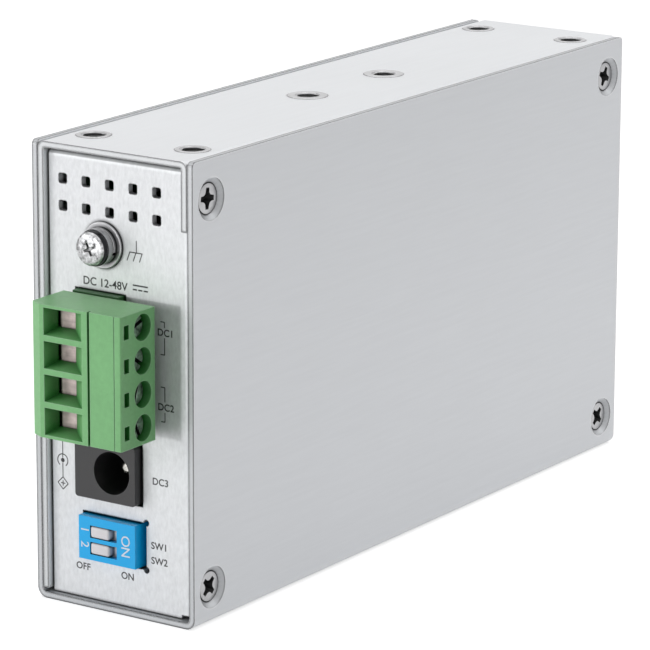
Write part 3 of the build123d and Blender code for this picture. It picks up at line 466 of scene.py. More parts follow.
# Near-black painted shade for the walls of screw recesses and slots, and for the ring round the cover screws' heads.
PAINTED_RECESS_SHADE = Finish("painted_recess_shade", base=(0.015, 0.015, 0.016), painted_edge_line=(0.08, 0.08, 0.08), metallic=0.4, roughness=0.6)
CLAMP_STEEL = Finish(
    "warm_clamp_steel", base=(0.5, 0.41, 0.4), painted_edge_line=(0.9, 0.86, 0.84), metallic=0.75, roughness=0.36,
    grain=Grain.ALONG_X, fineness=260.0, cloud_size=900.0, grain_depth=0.7, cloud_depth=0.9, painted_edge_share=0.8,
    edge_radius=0.00012, bump=0.3, shade_reach=0.0006, shade_depth=0.75)
CLAMP_HEAD = Finish(
    "speckled_clamp_head", base=(0.3, 0.4, 0.33), painted_edge_line=(0.75, 0.85, 0.78), metallic=0.45, roughness=0.33,
    roughness_swing=0.1, fineness=300.0, cloud_size=1200.0, grain_depth=1.6, cloud_depth=3.4, painted_edge_share=0.6,
    edge_radius=0.0001, bump=0.4, shade_reach=0.0006, shade_depth=0.5)
TINNED = Finish(
    "tinned_contact", base=(0.7, 0.68, 0.64), painted_edge_line=(0.92, 0.9, 0.88), metallic=1.0, roughness=0.25,
    roughness_swing=0.05, fineness=90.0, cloud_size=120.0, cloud_depth=0.15, painted_edge_share=0.4, edge_radius=0.00006)
BRASS = Finish(
    "bare_brass", base=(0.6, 0.42, 0.17), painted_edge_line=(0.85, 0.7, 0.4), metallic=1.0, roughness=0.3, roughness_swing=0.06,
    fineness=90.0, cloud_size=120.0, cloud_depth=0.2, painted_edge_share=0.4, edge_radius=0.00008)
# The plug's grooves and bores take painted shade in deep green.
GREEN = Finish(
    "terminal_green", base=(0.2, 0.5, 0.2), painted_edge_line=(0.5, 0.8, 0.52), roughness=0.38, roughness_swing=0.05,
    fineness=240.0, cloud_size=160.0, grain_depth=0.24, cloud_depth=0.16, painted_edge_share=0.85, edge_radius=0.0002, bump=0.25,
    shade_reach=0.003, shade_depth=0.9, shade_color=(0.01, 0.17, 0.018))
HEADER_GREEN = Finish(
    "header_green", base=(0.03, 0.13, 0.035), painted_edge_line=(0.1, 0.34, 0.12), roughness=0.45, roughness_swing=0.05,
    fineness=240.0, cloud_size=160.0, painted_edge_share=0.5, edge_radius=0.00012, bump=0.2)
JACK_BLACK = Finish(
    "jack_black", base=(0.018, 0.017, 0.019), painted_edge_line=(0.13, 0.13, 0.135), roughness=0.45, roughness_swing=0.06,
    fineness=130.0, cloud_size=90.0, grain_depth=0.25, cloud_depth=0.2, painted_edge_share=0.7, edge_radius=0.00018, bump=0.3)
SWITCH_BLUE = Finish(
    "switch_blue", base=(0.0, 0.47, 0.98), painted_edge_line=(0.06, 0.5, 0.88), roughness=0.33, roughness_swing=0.04,
    fineness=120.0, cloud_size=120.0, grain_depth=0.05, cloud_depth=0.08, painted_edge_share=0.5, edge_radius=0.0001, bump=0.06)
SWITCH_WHITE = Finish(
    "switch_white", base=(0.82, 0.79, 0.82), painted_edge_line=(0.95, 0.95, 0.97), roughness=0.35, roughness_swing=0.04,
    fineness=120.0, cloud_size=160.0, grain_depth=0.04, cloud_depth=0.06, painted_edge_share=0.4, edge_radius=0.00012, bump=0.05)
INK = Finish(
    "panel_ink", base=(0.025, 0.025, 0.028), painted_edge_line=(0.025, 0.025, 0.028), roughness=0.55, roughness_swing=0.05,
    fineness=200.0, cloud_size=300.0, grain_depth=0.2, cloud_depth=0.2, painted_edge_share=0.0, edge_radius=0.00001, bump=0.05,
    shade_depth=0.0)
WHITE_INK = Finish(
    "switch_ink", base=(0.75, 0.85, 0.95), painted_edge_line=(0.8, 0.88, 0.95), roughness_swing=0.05, fineness=200.0,
    cloud_size=300.0, painted_edge_share=0.0, edge_radius=0.00001, bump=0.05, shade_depth=0.0)
BOARD = Finish(
    "board_mask_green", base=(0.01, 0.075, 0.03), painted_edge_line=(0.25, 0.25, 0.12), roughness=0.25, roughness_swing=0.05,
    grain=Grain.ALONG_Y, cloud_size=120.0, grain_depth=0.3, cloud_depth=0.2, painted_edge_share=0.5, edge_radius=0.0001, bump=0.15)
CHIP_BLACK = Finish(
    "chip_black", base=(0.02, 0.02, 0.022), painted_edge_line=(0.06, 0.06, 0.06), roughness=0.55, roughness_swing=0.05,
    fineness=150.0, cloud_size=90.0, grain_depth=0.3, cloud_depth=0.2, painted_edge_share=0.4, edge_radius=0.0001, bump=0.3)
ALUMINIUM = Finish(
    "drawn_aluminium", base=(0.62, 0.63, 0.65), painted_edge_line=(0.85, 0.85, 0.86), metallic=1.0, roughness=0.32,
    roughness_swing=0.06, grain=Grain.ALONG_Y, fineness=120.0, cloud_size=90.0, grain_depth=0.15, cloud_depth=0.15,
    painted_edge_share=0.5, edge_radius=0.0001, bump=0.15)
PORT_SHELL = Finish(
    "tinned_port_shell", base=(0.66, 0.66, 0.66), painted_edge_line=(0.92, 0.92, 0.92), metallic=1.0, roughness=0.2,
    roughness_swing=0.06, grain=Grain.ALONG_Y, fineness=90.0, grain_depth=0.15, cloud_depth=0.2, painted_edge_share=0.5,
    edge_radius=0.00012)
PAD = Finish("soft_pad_grey", base=(0.3, 0.32, 0.36), painted_edge_line=(0.4, 0.4, 0.45), roughness=0.8, roughness_swing=0.05)
PIPE = Finish(
    "clear_pipe", base=(0.85, 0.88, 0.9), painted_edge_line=(0.95, 0.95, 0.95), roughness=0.15, roughness_swing=0.04, fineness=90.0,
    grain_depth=0.05, cloud_depth=0.05, painted_edge_share=0.2, edge_radius=0.0001, bump=0.04, transmission=0.8)
LAMP = Finish("lamp_chip", base=(0.75, 0.7, 0.35), painted_edge_line=(0.9, 0.9, 0.8), roughness=0.3, roughness_swing=0.04)

NODE_FINISH: dict[str, Finish] = {
    "cover": SHADED_SIDE_SHEET, "chassis": LIT_TOP_SHEET, "front_panel": PANEL_SHEET, "rear_panel": PANEL_SHEET,
    "cover_nuts": SCREW_STEEL, "ground_nut": SCREW_STEEL, "board_screws": SCREW_STEEL, "board_standoffs": BRASS,
    "header_housing": HEADER_GREEN, "header_pins": TINNED, "plug_housing": GREEN, "plug_contacts": TINNED,
    "dc_jack_body": JACK_BLACK, "dc_jack_pin": TINNED, "dc_jack_spring": TINNED, "dip_base": JACK_BLACK,
    "dip_cover": SWITCH_BLUE, "dip_slider_1": SWITCH_WHITE, "dip_slider_2": SWITCH_WHITE, "dip_pins": TINNED,
    "main_board": BOARD, "main_processor": CHIP_BLACK, "thermal_pad": PAD, "processor_heatsink": ALUMINIUM,
    "memory_chips": CHIP_BLACK, "crystal": PORT_SHELL, "transformers": CHIP_BLACK, "capacitors": ALUMINIUM,
    "power_inductors": CHIP_BLACK, "rj45_contacts": BRASS, "light_pipe": PIPE, "status_leds": LAMP,
    "corner_mounting_nuts": SCREW_STEEL, "middle_mounting_nuts": SCREW_STEEL, "cover_screws_right": SCREW_STEEL,
    "cover_screws_left": SCREW_STEEL, "ground_screw": SCREW_STEEL, "ground_spring_washer": SCREW_STEEL,
    "ground_flat_washer": SCREW_STEEL,
    **{f"clamp_cage_{n}": CLAMP_STEEL for n in (1, 2, 3, 4)},
    **{f"clamp_screw_{n}": CLAMP_HEAD for n in (1, 2, 3, 4)},
    **{f"rj45_shell_{n}": PORT_SHELL for n in (1, 2, 3)},
    **{f"rj45_insert_{n}": JACK_BLACK for n in (1, 2, 3)},
}


class MaterialShelf:
    """Keeps one built material for each finish."""

    def __init__(self) -> None:
        """Start with the shared groups and no materials."""
        self.kit = ShaderKit()
        self.built: dict[str, bpy.types.Material] = {}

    def get(self, finish: Finish) -> bpy.types.Material:
        """Return the finish's material, built on first use.

        Args:
            finish: The finish.

        Returns:
            Its material.
        """
        if finish.name not in self.built:
            self.built[finish.name] = finish.build(self.kit)
        return self.built[finish.name]

    def dress_nodes(self) -> None:
        """Give every CAD node its finish."""
        for name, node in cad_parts.items():
            node.data.materials.clear()
            node.data.materials.append(self.get(NODE_FINISH[name]))


# ---- mesh helpers


def add_object(name: str, data: bpy.types.ID) -> bpy.types.Object:
    """Link a mesh, curve, light or camera into the scene as an object at the origin.

    Args:
        name: The object's name.
        data: What it shows.

    Returns:
        The object.
    """
    obj = bpy.data.objects.new(name, data)
    bpy.context.scene.collection.objects.link(obj)
    return obj


def evaluated(obj: bpy.types.Object) -> bpy.types.Mesh:
    """Return an object as a plain mesh with its modifiers applied."""
    graph = bpy.context.evaluated_depsgraph_get()
    return bpy.data.meshes.new_from_object(obj.evaluated_get(graph))


def shade_smooth(mesh: bpy.types.Mesh) -> None:
    """Shade a mesh smooth, with its sharp edges kept."""
    mesh.polygons.foreach_set("use_smooth", [True] * len(mesh.polygons))
    mesh.set_sharp_from_angle(angle=SHARP_ANGLE)


def plain_mesh(bm: bmesh.types.BMesh, name: str) -> bpy.types.Mesh:
    """Turn a bmesh into a mesh as it is, and free it.

    Args:
        bm: The bmesh to use up.
        name: The mesh's name.

    Returns:
        The mesh.
    """
    mesh = bpy.data.meshes.new(name)
    bm.to_mesh(mesh)
    bm.free()
    return mesh


def outward_mesh(bm: bmesh.types.BMesh, name: str) -> bpy.types.Mesh:
    """Turn a bmesh into a mesh with outward faces, and free it.

    Args:
        bm: The bmesh to use up.
        name: The mesh's name.

    Returns:
        The mesh.
    """
    bmesh.ops.remove_doubles(bm, verts=bm.verts, dist=MERGE_DISTANCE)
    bmesh.ops.recalc_face_normals(bm, faces=bm.faces)
    return plain_mesh(bm, name)


def smooth_solid(bm: bmesh.types.BMesh, name: str) -> bpy.types.Mesh:
    """Turn a bmesh into a smooth solid with outward faces, and free it.

    Args:
        bm: The bmesh to use up.
        name: The mesh's name.

    Returns:
        The mesh.
    """
    mesh = outward_mesh(bm, name)
    shade_smooth(mesh)
    return mesh


def wall_faces(bm: bmesh.types.BMesh, ring: list[bmesh.types.BMVert], after: list[bmesh.types.BMVert]) -> None:
    """Join two rings of corners with a wall of faces, which closes to triangles where a ring is one point.

    Args:
        bm: The bmesh that both rings are in.
        ring: The first ring.
        after: The next ring, with as many entries.
    """
    for i in range(len(ring)):
        j = (i + 1) % len(ring)
        corners = list(dict.fromkeys((ring[i], ring[j], after[j], after[i])))
        if len(corners) > 2:
            bm.faces.new(corners)


def lathe(profile: list[Pair], steps: int = 48) -> bmesh.types.BMesh:
    """Turn a closed profile round Z into a solid.

    Args:
        profile: Points of radius and height in millimetres, in order round the section.
        steps: How many steps make the turn.

    Returns:
        The solid, in millimetres.
    """
    bm = bmesh.new()
    angles = [2 * math.pi * i / steps for i in range(steps)]
    rings = []
    for radius, height in profile:
        if radius < ON_AXIS:
            rings.append([bm.verts.new((0, 0, height))] * steps)
        else:
            rings.append([bm.verts.new((radius * math.cos(a), radius * math.sin(a), height)) for a in angles])
    for ring, after in zip(rings, rings[1:] + rings[:1]):
        wall_faces(bm, ring, after)
    return bm


def prism(outline: list[Pair], low: float, high: float, shrink: float = 1.0) -> bmesh.types.BMesh:
    """Raise a flat outline into a solid that narrows towards its low end.

    Args:
        outline: The outline's corners in millimetres.
        low: The low end's height.
        high: The high end's height.
        shrink: The low end's size as a share of the outline.

    Returns:
        The solid, in millimetres.
    """
    bm = bmesh.new()
    top = [bm.verts.new((x, y, high)) for x, y in outline]
    base = [bm.verts.new((x * shrink, y * shrink, low)) for x, y in outline]
    bm.faces.new(top)
    bm.faces.new(base[::-1])
    wall_faces(bm, base, top)
    return bm


def cut_with(body: bpy.types.Mesh, cutter: bpy.types.Mesh, name: str) -> bpy.types.Mesh:
    """Cut one mesh with another, whose material the new walls take.

    Args:
        body: The mesh to cut.
        cutter: The mesh to cut away.
        name: The name of the passing object.

    Returns:
        The cut mesh.
    """
    obj, tool = add_object(name, body), add_object(name + "_tool", cutter)
    modifier = obj.modifiers.new("cut", "BOOLEAN")
    modifier.operation, modifier.solver, modifier.object = "DIFFERENCE", "EXACT", tool
    modifier.material_mode = "TRANSFER"
    result = evaluated(obj)
    for used in (obj, tool):
        bpy.data.objects.remove(used)
    return result


def join_meshes(meshes: list[bpy.types.Mesh], name: str) -> bpy.types.Mesh:
    """Join meshes into one smooth mesh, keeping each one's materials.

    Args:
        meshes: The meshes to join.
        name: The joined mesh's name.

    Returns:
        The joined mesh.
    """
    bm = bmesh.new()
    shelf: list[bpy.types.Material] = []
    for mesh in meshes:
        used = [material for material in mesh.materials if material]
        shelf += [material for material in used if material not in shelf]
        before = len(bm.faces)
        bm.from_mesh(mesh)
        bm.faces.ensure_lookup_table()
        for face in bm.faces[before:]:
            if used:
                face.material_index = shelf.index(used[min(face.material_index, len(used) - 1)])
    joined = plain_mesh(bm, name)
    for material in shelf:
        joined.materials.append(material)
    shade_smooth(joined)
    return joined


def finish_piece(
    name: str, mesh: bpy.types.Mesh, body: str, stands_for: tuple[str, ...] = (),
) -> bpy.types.Object:
    """Link a finished piece, put it on its body and let it stand for the CAD nodes it replaces.

    Args:
        name: The piece's name.
        mesh: Its mesh, in the row frame.
        body: The body it rides on.
        stands_for: The CAD nodes it replaces.

    Returns:
        The piece's object.
    """
    obj = add_object(name, mesh)
    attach(obj, body)
    if stands_for:
        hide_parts(*stands_for)
    LOG.info("%s: %d faces on %s", name, len(mesh.polygons), body)
    return obj


# ---- geometry node trees


class RepeatTree:
    """Geometry Nodes trees that repeat a piece on a grid or wind a thread."""

    @classmethod
    def grid(cls) -> bpy.types.NodeTree:
        """Build the tree that sets copies of a piece on a grid, each turned by its own seeded angle.

        Returns:
            The tree.
        """
        bench = Bench.group("repeat_on_grid", "GeometryNodeTree", {
            "Piece": "NodeSocketObject", "Columns": 2, "Rows": 2, "Spacing Across": 1.0, "Spacing Up": 1.0,
            "Turn Spread": 0.0, "Seed": 3, "Finish": "NodeSocketMaterial"}, {"Geometry": "NodeSocketGeometry"})
        given = bench.given
        feeds = {"Vertices X": given("Columns"), "Vertices Y": given("Rows")}
        for count, spacing, size in (("Columns", "Spacing Across", "Size X"), ("Rows", "Spacing Up", "Size Y")):
            feeds[size] = bench.math("MULTIPLY", bench.math("SUBTRACT", given(count), 1.0), given(spacing))
        points = bench.add("GeometryNodeMeshGrid", feeds).outputs["Mesh"]
        piece = bench.add("GeometryNodeObjectInfo", {"Object": given("Piece")}).outputs["Geometry"]
        angle = bench.add("FunctionNodeRandomValue", {"Max": given("Turn Spread"), "Seed": given("Seed")},
                          data_type="FLOAT")
        turn = bench.add("ShaderNodeCombineXYZ", {"Z": angle.outputs["Value"]}).outputs[0]
        copies = bench.add("GeometryNodeInstanceOnPoints", {"Points": points, "Instance": piece, "Rotation": turn})
        cls.end(bench, copies.outputs["Instances"], first_slot_only=True)
        return bench.tree

    @classmethod
    def thread(cls) -> bpy.types.NodeTree:
        """Build the tree that winds a three-sided ridge into a thread.

        Returns:
            The tree.
        """
        bench = Bench.group("wind_thread", "GeometryNodeTree", {
            "Turns": 5.0, "Radius": 1.5, "Length": 3.0, "Ridge": 0.2, "Finish": "NodeSocketMaterial"},
            {"Geometry": "NodeSocketGeometry"})
        given = bench.given
        spiral = bench.add("GeometryNodeCurveSpiral", {
            "Resolution": 20, "Rotations": given("Turns"), "Start Radius": given("Radius"),
            "End Radius": given("Radius"), "Height": given("Length")}).outputs["Curve"]
        ridge = bench.add("GeometryNodeCurvePrimitiveCircle", {"Resolution": 3, "Radius": given("Ridge")})
        sweep = bench.add("GeometryNodeCurveToMesh", {
            "Fill Caps": True, "Curve": spiral, "Profile Curve": ridge.outputs["Curve"]})
        cls.end(bench, sweep.outputs["Mesh"])
        return bench.tree

    @staticmethod
    def end(bench: Bench, made: bpy.types.NodeSocket, first_slot_only: bool = False) -> None:
        """Close a tree with Realize Instances and Set Material.

        Args:
            bench: The bench of the tree.
            made: The socket with the geometry made so far.
            first_slot_only: Whether only faces of the first material slot take the Finish input.
        """
        real = bench.add("GeometryNodeRealizeInstances", {"Geometry": made}).outputs["Geometry"]
        paint = {"Geometry": real, "Material": bench.given("Finish")}
        if first_slot_only:
            slot = bench.add("GeometryNodeInputMaterialIndex").outputs[0]
            first = bench.add("FunctionNodeCompare", {"A": slot}, data_type="INT", operation="EQUAL")
            paint["Selection"] = first.outputs[0]
        bench.give("Geometry", bench.add("GeometryNodeSetMaterial", paint).outputs["Geometry"])

    @staticmethod
    def run(tree: bpy.types.NodeTree, values: dict[str, object], name: str) -> bpy.types.Mesh:
        """Evaluate a tree with the given inputs and return the result as a plain mesh.

        Args:
            tree: The geometry tree.
            values: Input values by socket name.
            name: The mesh's name.

        Returns:
            The evaluated mesh, in the tree's own units.
        """
        host = add_object(name + "_host", bpy.data.meshes.new(name + "_host"))
        modifier = host.modifiers.new("tree", "NODES")
        modifier.node_group = tree
        sockets = {item.name: item.identifier for item in tree.interface.items_tree if item.in_out == "INPUT"}
        for label, value in values.items():
            modifier[sockets[label]] = value
        host.update_tag()
        mesh = evaluated(host)
        mesh.name = name
        host.modifiers.clear()
        bpy.data.objects.remove(host)
        return mesh


# ---- sub-assemblies


@dataclass(frozen=True)
class CrossRecess:
    """A cross recess in a screw's head, in millimetres, which narrows downwards."""

    reach: float
    width: float
    low: float
    high: float
    shrink: float

    def outline(self) -> list[Pair]:
        """Draw the cross, with wings that narrow outwards and rounded inner corners.

        Returns:
            The corners in order.
        """
        wing = [(self.reach, -0.42 * self.width), (self.reach, 0.42 * self.width),
                (1.05 * self.width, 0.55 * self.width), (0.72 * self.width, 0.72 * self.width),
                (0.5 * self.width, 1.05 * self.width)]
        corners = []
        for quarter in range(4):
            c, s = math.cos(quarter * math.pi / 2), math.sin(quarter * math.pi / 2)
            corners += [(x * c - y * s, x * s + y * c) for x, y in wing]
        return corners

    def cut(self, head: bpy.types.Mesh, material: bpy.types.Material, name: str) -> bpy.types.Mesh:
        """Cut the recess into a screw's head.

        Args:
            head: The screw.
            material: What the recess's walls take.
            name: The cut screw's name.

        Returns:
            The cut screw.
        """
        cutter = outward_mesh(prism(self.outline(), self.low, self.high, self.shrink), name + "_recess")
        cutter.materials.append(material)
        return cut_with(head, cutter, name)


@dataclass
class Fasteners:
    """Screws, washers and inserts of the enclosure, each with its recess or thread, in millimetres."""

    shelf: MaterialShelf
    grid: bpy.types.NodeTree
    winding: bpy.types.NodeTree
    head_radius: float = 2.45
    head_recess: float = 0.7
    head_cross: CrossRecess = CrossRecess(reach=1.72, width=0.95, low=-1.1, high=0.2, shrink=0.55)
    # Width and depth of the head's outer ring that takes the painted shade.
    shade_rim_width: float = 0.2
    shade_rim_depth: float = 0.6
    shank_radius: float = 1.45
    shank_length: float = 3.3
    side: float = 14.5
    screw_span_y: float = 112.0
    screw_low_z: float = 5.6
    screw_high_z: float = 63.95
    screw_turn_spread: float = 1.5
    insert_top: float = 70.0
    insert_bore: float = 1.65
    insert_body: float = 3.3
    insert_low: float = 66.8
    insert_pitch: float = 0.5
    insert_ridge: float = 0.17
    insert_turn_spread: float = 3.0
    ground: Triple = (-2.3, -59.5, 55.6)
    ground_cross: CrossRecess = CrossRecess(reach=1.25, width=0.5, low=1.85, high=2.5, shrink=0.6)
    ground_turns: float = 9.0
    ground_pitch: float = 0.5
    ground_end: float = -4.6
    flat_washer_height: float = 0.5
    spring_washer_height: float = 0.8

    def flat_head_screw(self) -> bpy.types.Mesh:
        """Build one countersunk cross screw, with painted shade on its recess walls and on a ring round its head's rim.

        Returns:
            The screw with its head's face at height 0, in millimetres.
        """
        head, shank = self.head_radius, self.shank_radius
        profile = [(0, 0), (head - 0.22, 0), (head - 0.06, -0.05), (head, -0.16), (shank, shank - head - 0.1),
                   (shank, -self.shank_length), (0, -self.shank_length)]
        body = smooth_solid(lathe(profile), "cover_screw")
        body.materials.append(self.shelf.get(SCREW_STEEL))
        screw = self.head_cross.cut(body, self.shelf.get(PAINTED_RECESS_SHADE), "cover_screw")
        # The head's outer ring takes the painted shade, as a dark outline round the head.
        for face in screw.polygons:
            if face.center.xy.length > head - self.shade_rim_width and face.center.z > -self.shade_rim_depth:
                face.material_index = 1
        return screw

    def repeat(self, name: str, master: bpy.types.Mesh, at: Matrix, values: dict[str, object]) -> None:
        """Set copies of a fastener on a grid as the piece that stands for a CAD node.

        Args:
            name: The CAD node.
            master: The fastener to copy.
            at: The matrix that puts the grid in its place.
            values: The grid tree's inputs besides the piece, by socket name.
        """
        piece = add_object(name + "_master", master)
        mesh = RepeatTree.run(self.grid, {"Piece": piece, "Rows": 2, **values}, name + "_dressed")
        bpy.data.objects.remove(piece)
        self.set_piece(name, mesh, at)

    def set_piece(self, name: str, mesh: bpy.types.Mesh, at: Matrix) -> None:
        """Put a fastener in its place as the piece that stands for a CAD node.

        Args:
            name: The CAD node.
            mesh: The fastener, in millimetres.
            at: The matrix that puts it in its place.
        """
        mesh.transform(at)
        finish_piece(name + "_dressed", mesh, CASE, (name,))

    def wound(self, turns: float, pitch: float, radius: float, ridge: float, low: float, finish: Finish
              ) -> bpy.types.Mesh:
        """Wind a thread.

        Args:
            turns: How many turns it has.
            pitch: Its rise in one turn.
            radius: Its radius.
            ridge: The ridge's radius.
            low: The height that it starts from.
            finish: Its finish.

        Returns:
            The thread, in millimetres.
        """
        ridges = RepeatTree.run(self.winding, {
            "Turns": turns, "Radius": radius, "Length": turns * pitch, "Ridge": ridge,
            "Finish": self.shelf.get(finish)}, "thread")
        ridges.transform(Matrix.Translation((0, 0, low)))
        return ridges

    def build_cover_screws(self) -> None:
        """Set four screws into the countersinks of each side."""
        middle = (self.screw_high_z + self.screw_low_z) / 2
        for facing, sign, side, seed in ((Facing.RIGHT, 1, "right", 5), (Facing.LEFT, -1, "left", 9)):
            at = place(facing, sign * (self.side - self.head_recess), 0, middle)
            self.repeat(f"cover_screws_{side}", self.flat_head_screw(), at, {
                "Columns": 2, "Spacing Across": self.screw_span_y, "Spacing Up": self.screw_high_z - self.screw_low_z,
                "Turn Spread": self.screw_turn_spread, "Seed": seed, "Finish": self.shelf.get(SCREW_STEEL)})

    def insert(self, ring: float, grip: float) -> bpy.types.Mesh:
        """Build one threaded insert: a slightly domed ring, its body and a wound thread.

        Args:
            ring: The ring's outer radius.
            grip: The thickness of the sheets that the ring passes through.

        Returns:
            The insert with the top sheet's face at height 0, in millimetres.
        """
        low, bore, body = self.insert_low - self.insert_top, self.insert_bore, self.insert_body
        wall, chamfer, lead = bore + 0.18, 0.15, 0.1
        profile = [(wall, low), (body - chamfer, low), (body, low + chamfer), (body, -grip), (ring, -grip),
                   (ring, 0.02), (ring - 0.1, 0.1), (bore + 0.35, 0.12), (wall, -lead)]
        turns = (-chamfer - low - lead) / self.insert_pitch
        ridges = self.wound(turns, self.insert_pitch, bore + 0.12, self.insert_ridge, low + lead, INSERT_STEEL)
        mesh = smooth_solid(lathe(profile, 56), "insert")
        mesh.materials.append(self.shelf.get(INSERT_STEEL))
        return join_meshes([mesh, ridges], "insert")

    def build_inserts(self) -> None:
        """Set the four corner inserts and the two middle ones into the top."""
        for name, ring, grip, columns, across, along in (
            ("corner_mounting_nuts", 2.65, 2.0, 2, 17.88, 105.8),
            ("middle_mounting_nuts", 3.15, 1.0, 1, 0.0, 21.2),
        ):
            self.repeat(name, self.insert(ring, grip), place(Facing.TOP, 0, 0, self.insert_top), {
                "Columns": columns, "Spacing Across": across, "Spacing Up": along,
                "Turn Spread": self.insert_turn_spread, "Finish": self.shelf.get(INSERT_STEEL)})

    def build_ground(self) -> None:
        """Build the ground screw with its thread, its split spring washer and its flat washer."""
        x, y, z = self.ground
        thick = self.flat_washer_height
        spring_y = y - thick
        steel = self.shelf.get(SCREW_STEEL)
        flat = lathe([(1.6, 0), (3.4, 0), (3.5, 0.1), (3.5, 0.4), (3.38, thick), (1.65, thick), (1.6, 0.42)])
        washer = smooth_solid(flat, "ground_flat_washer_dressed")
        washer.materials.append(steel)
        self.set_piece("ground_flat_washer", washer, place(Facing.FRONT, x, y, z))
        spring = self.spring_washer(1.62, 2.75, self.spring_washer_height, 0.16)
        spring.materials.append(steel)
        self.set_piece("ground_spring_washer", spring, place(Facing.FRONT, x, spring_y, z, -18))
        end = self.ground_end - 0.1
        profile = [(0, 2.25), (2.0, 2.25), (2.3, 2.16), (2.52, 1.92), (2.6, 1.6), (2.6, 1.12), (2.66, 1.04),
                   (2.75, 0.98), (2.75, 0.3), (2.68, 0.22), (2.75, 0.14), (2.7, 0), (1.3, 0), (1.3, self.ground_end),
                   (1.1, end), (0, end)]
        head = smooth_solid(lathe(profile, 64), "ground_head")
        for finish in (HEAD_FACE, SHADED_HEAD_SIDE, SCREW_STEEL):
            head.materials.append(self.shelf.get(finish))
        # The head's side band takes the painted-shade steel; its face and shank keep their own finishes.
        for face in head.polygons:
            face.material_index = 0 if face.center.z > 1.8 else 1 if face.center.z > 1.0 else 2
        head = self.ground_cross.cut(head, self.shelf.get(HEAD_FACE), "ground_head")
        ridges = self.wound(self.ground_turns, self.ground_pitch, 1.3, 0.15, self.ground_end, SCREW_STEEL)
        screw = join_meshes([head, ridges], "ground_screw_dressed")
        self.set_piece("ground_screw", screw, place(Facing.FRONT, x, spring_y - self.spring_washer_height, z, 24))

    @staticmethod
    def spring_washer(inner: float, outer: float, height: float, rise: float) -> bpy.types.Mesh:
        """Build a split washer whose ends stand apart.

        Args:
            inner: Inner radius in millimetres.
            outer: Outer radius.
            height: Height of the whole washer.
            rise: How much one end stands above the other.

        Returns:
            The washer, from height 0 to the given height.
        """
        bm = bmesh.new()
        steps, gap, chamfer = 60, math.radians(9), 0.08
        thick = height - rise
        rings = []
        for i in range(steps + 1):
            share = i / steps
            angle = gap / 2 + share * (2 * math.pi - gap)
            low, high = rise * share, rise * share + thick
            section = ((inner, low), (outer - chamfer, low), (outer, low + chamfer), (outer, high - chamfer),
                       (outer - chamfer, high), (inner, high))
            rings.append([bm.verts.new((r * math.cos(angle), r * math.sin(angle), h)) for r, h in section])
        for ring, after in zip(rings, rings[1:]):
            wall_faces(bm, ring, after)
        bm.faces.new(rings[0])
        bm.faces.new(rings[-1][::-1])
        return smooth_solid(bm, "ground_spring_washer_dressed")


@dataclass
class ClampScrews:
    """The four slotted screws down in the plug's side bores, each with its thread, in millimetres."""

    shelf: MaterialShelf
    fasteners: Fasteners
    head_face: float = 7.1
    head_radius: float = 1.9
    head_height: float = 1.7
    core_radius: float = 1.1
    thread_radius: float = 1.2
    thread_pitch: float = 0.45
    thread_stop: float = 0.5
    ridge: float = 0.1
    ridge_sink: float = 0.08
    tip: float = -0.95
    tip_chamfer: float = 0.3
    axis_y: float = -64.5
    slot_width: float = 0.6
    slot_depth: float = 0.8
    slot_overrun: float = 0.3
    poles: Path = ((45.9, 20.0), (40.9, -35.0), (35.9, 70.0), (30.9, 115.0))

    def slotted_screw(self, name: str) -> bpy.types.Mesh:
        """Build one screw with its slot along X.

        Args:
            name: The screw's name.

        Returns:
            The screw with its head's face at height 0, in millimetres.
        """
        head, core, chamfer = self.head_radius, self.core_radius, self.tip_chamfer
        length = self.head_face - self.tip
        profile = [(0, -0.06), (head - 0.35, 0), (head - 0.12, -0.05), (head, -0.2), (head, -self.head_height),
                   (core, -self.head_height), (core, -length + chamfer), (core - chamfer, -length), (0, -length)]
        body = smooth_solid(lathe(profile), name)
        body.materials.append(self.shelf.get(CLAMP_HEAD))
        half, end = self.slot_width / 2, head + self.slot_overrun
        outline = [(-end, -half), (end, -half), (end, half), (-end, half)]
        cutter = outward_mesh(prism(outline, -self.slot_depth, self.slot_overrun), name + "_slot")
        # The slot's walls take the near-black painted shade.
        cutter.materials.append(self.shelf.get(PAINTED_RECESS_SHADE))
        return cut_with(body, cutter, name)

    def build(self) -> None:
        """Build every screw on its own body."""
        length = self.head_face - self.head_height - self.tip - self.thread_stop
        low = self.tip - self.head_face + self.tip_chamfer
        for number, (height, angle) in enumerate(self.poles, 1):
            name = f"clamp_screw_{number}_dressed"
            ridges = self.fasteners.wound(length / self.thread_pitch, self.thread_pitch,
                                          self.thread_radius - self.ridge_sink, self.ridge, low, CLAMP_HEAD)
            mesh = join_meshes([self.slotted_screw(name), ridges], name)
            mesh.transform(place(Facing.RIGHT, self.head_face, self.axis_y, height, angle))
            finish_piece(name, mesh, f"clamp_screw_{number}_body", (f"clamp_screw_{number}",))


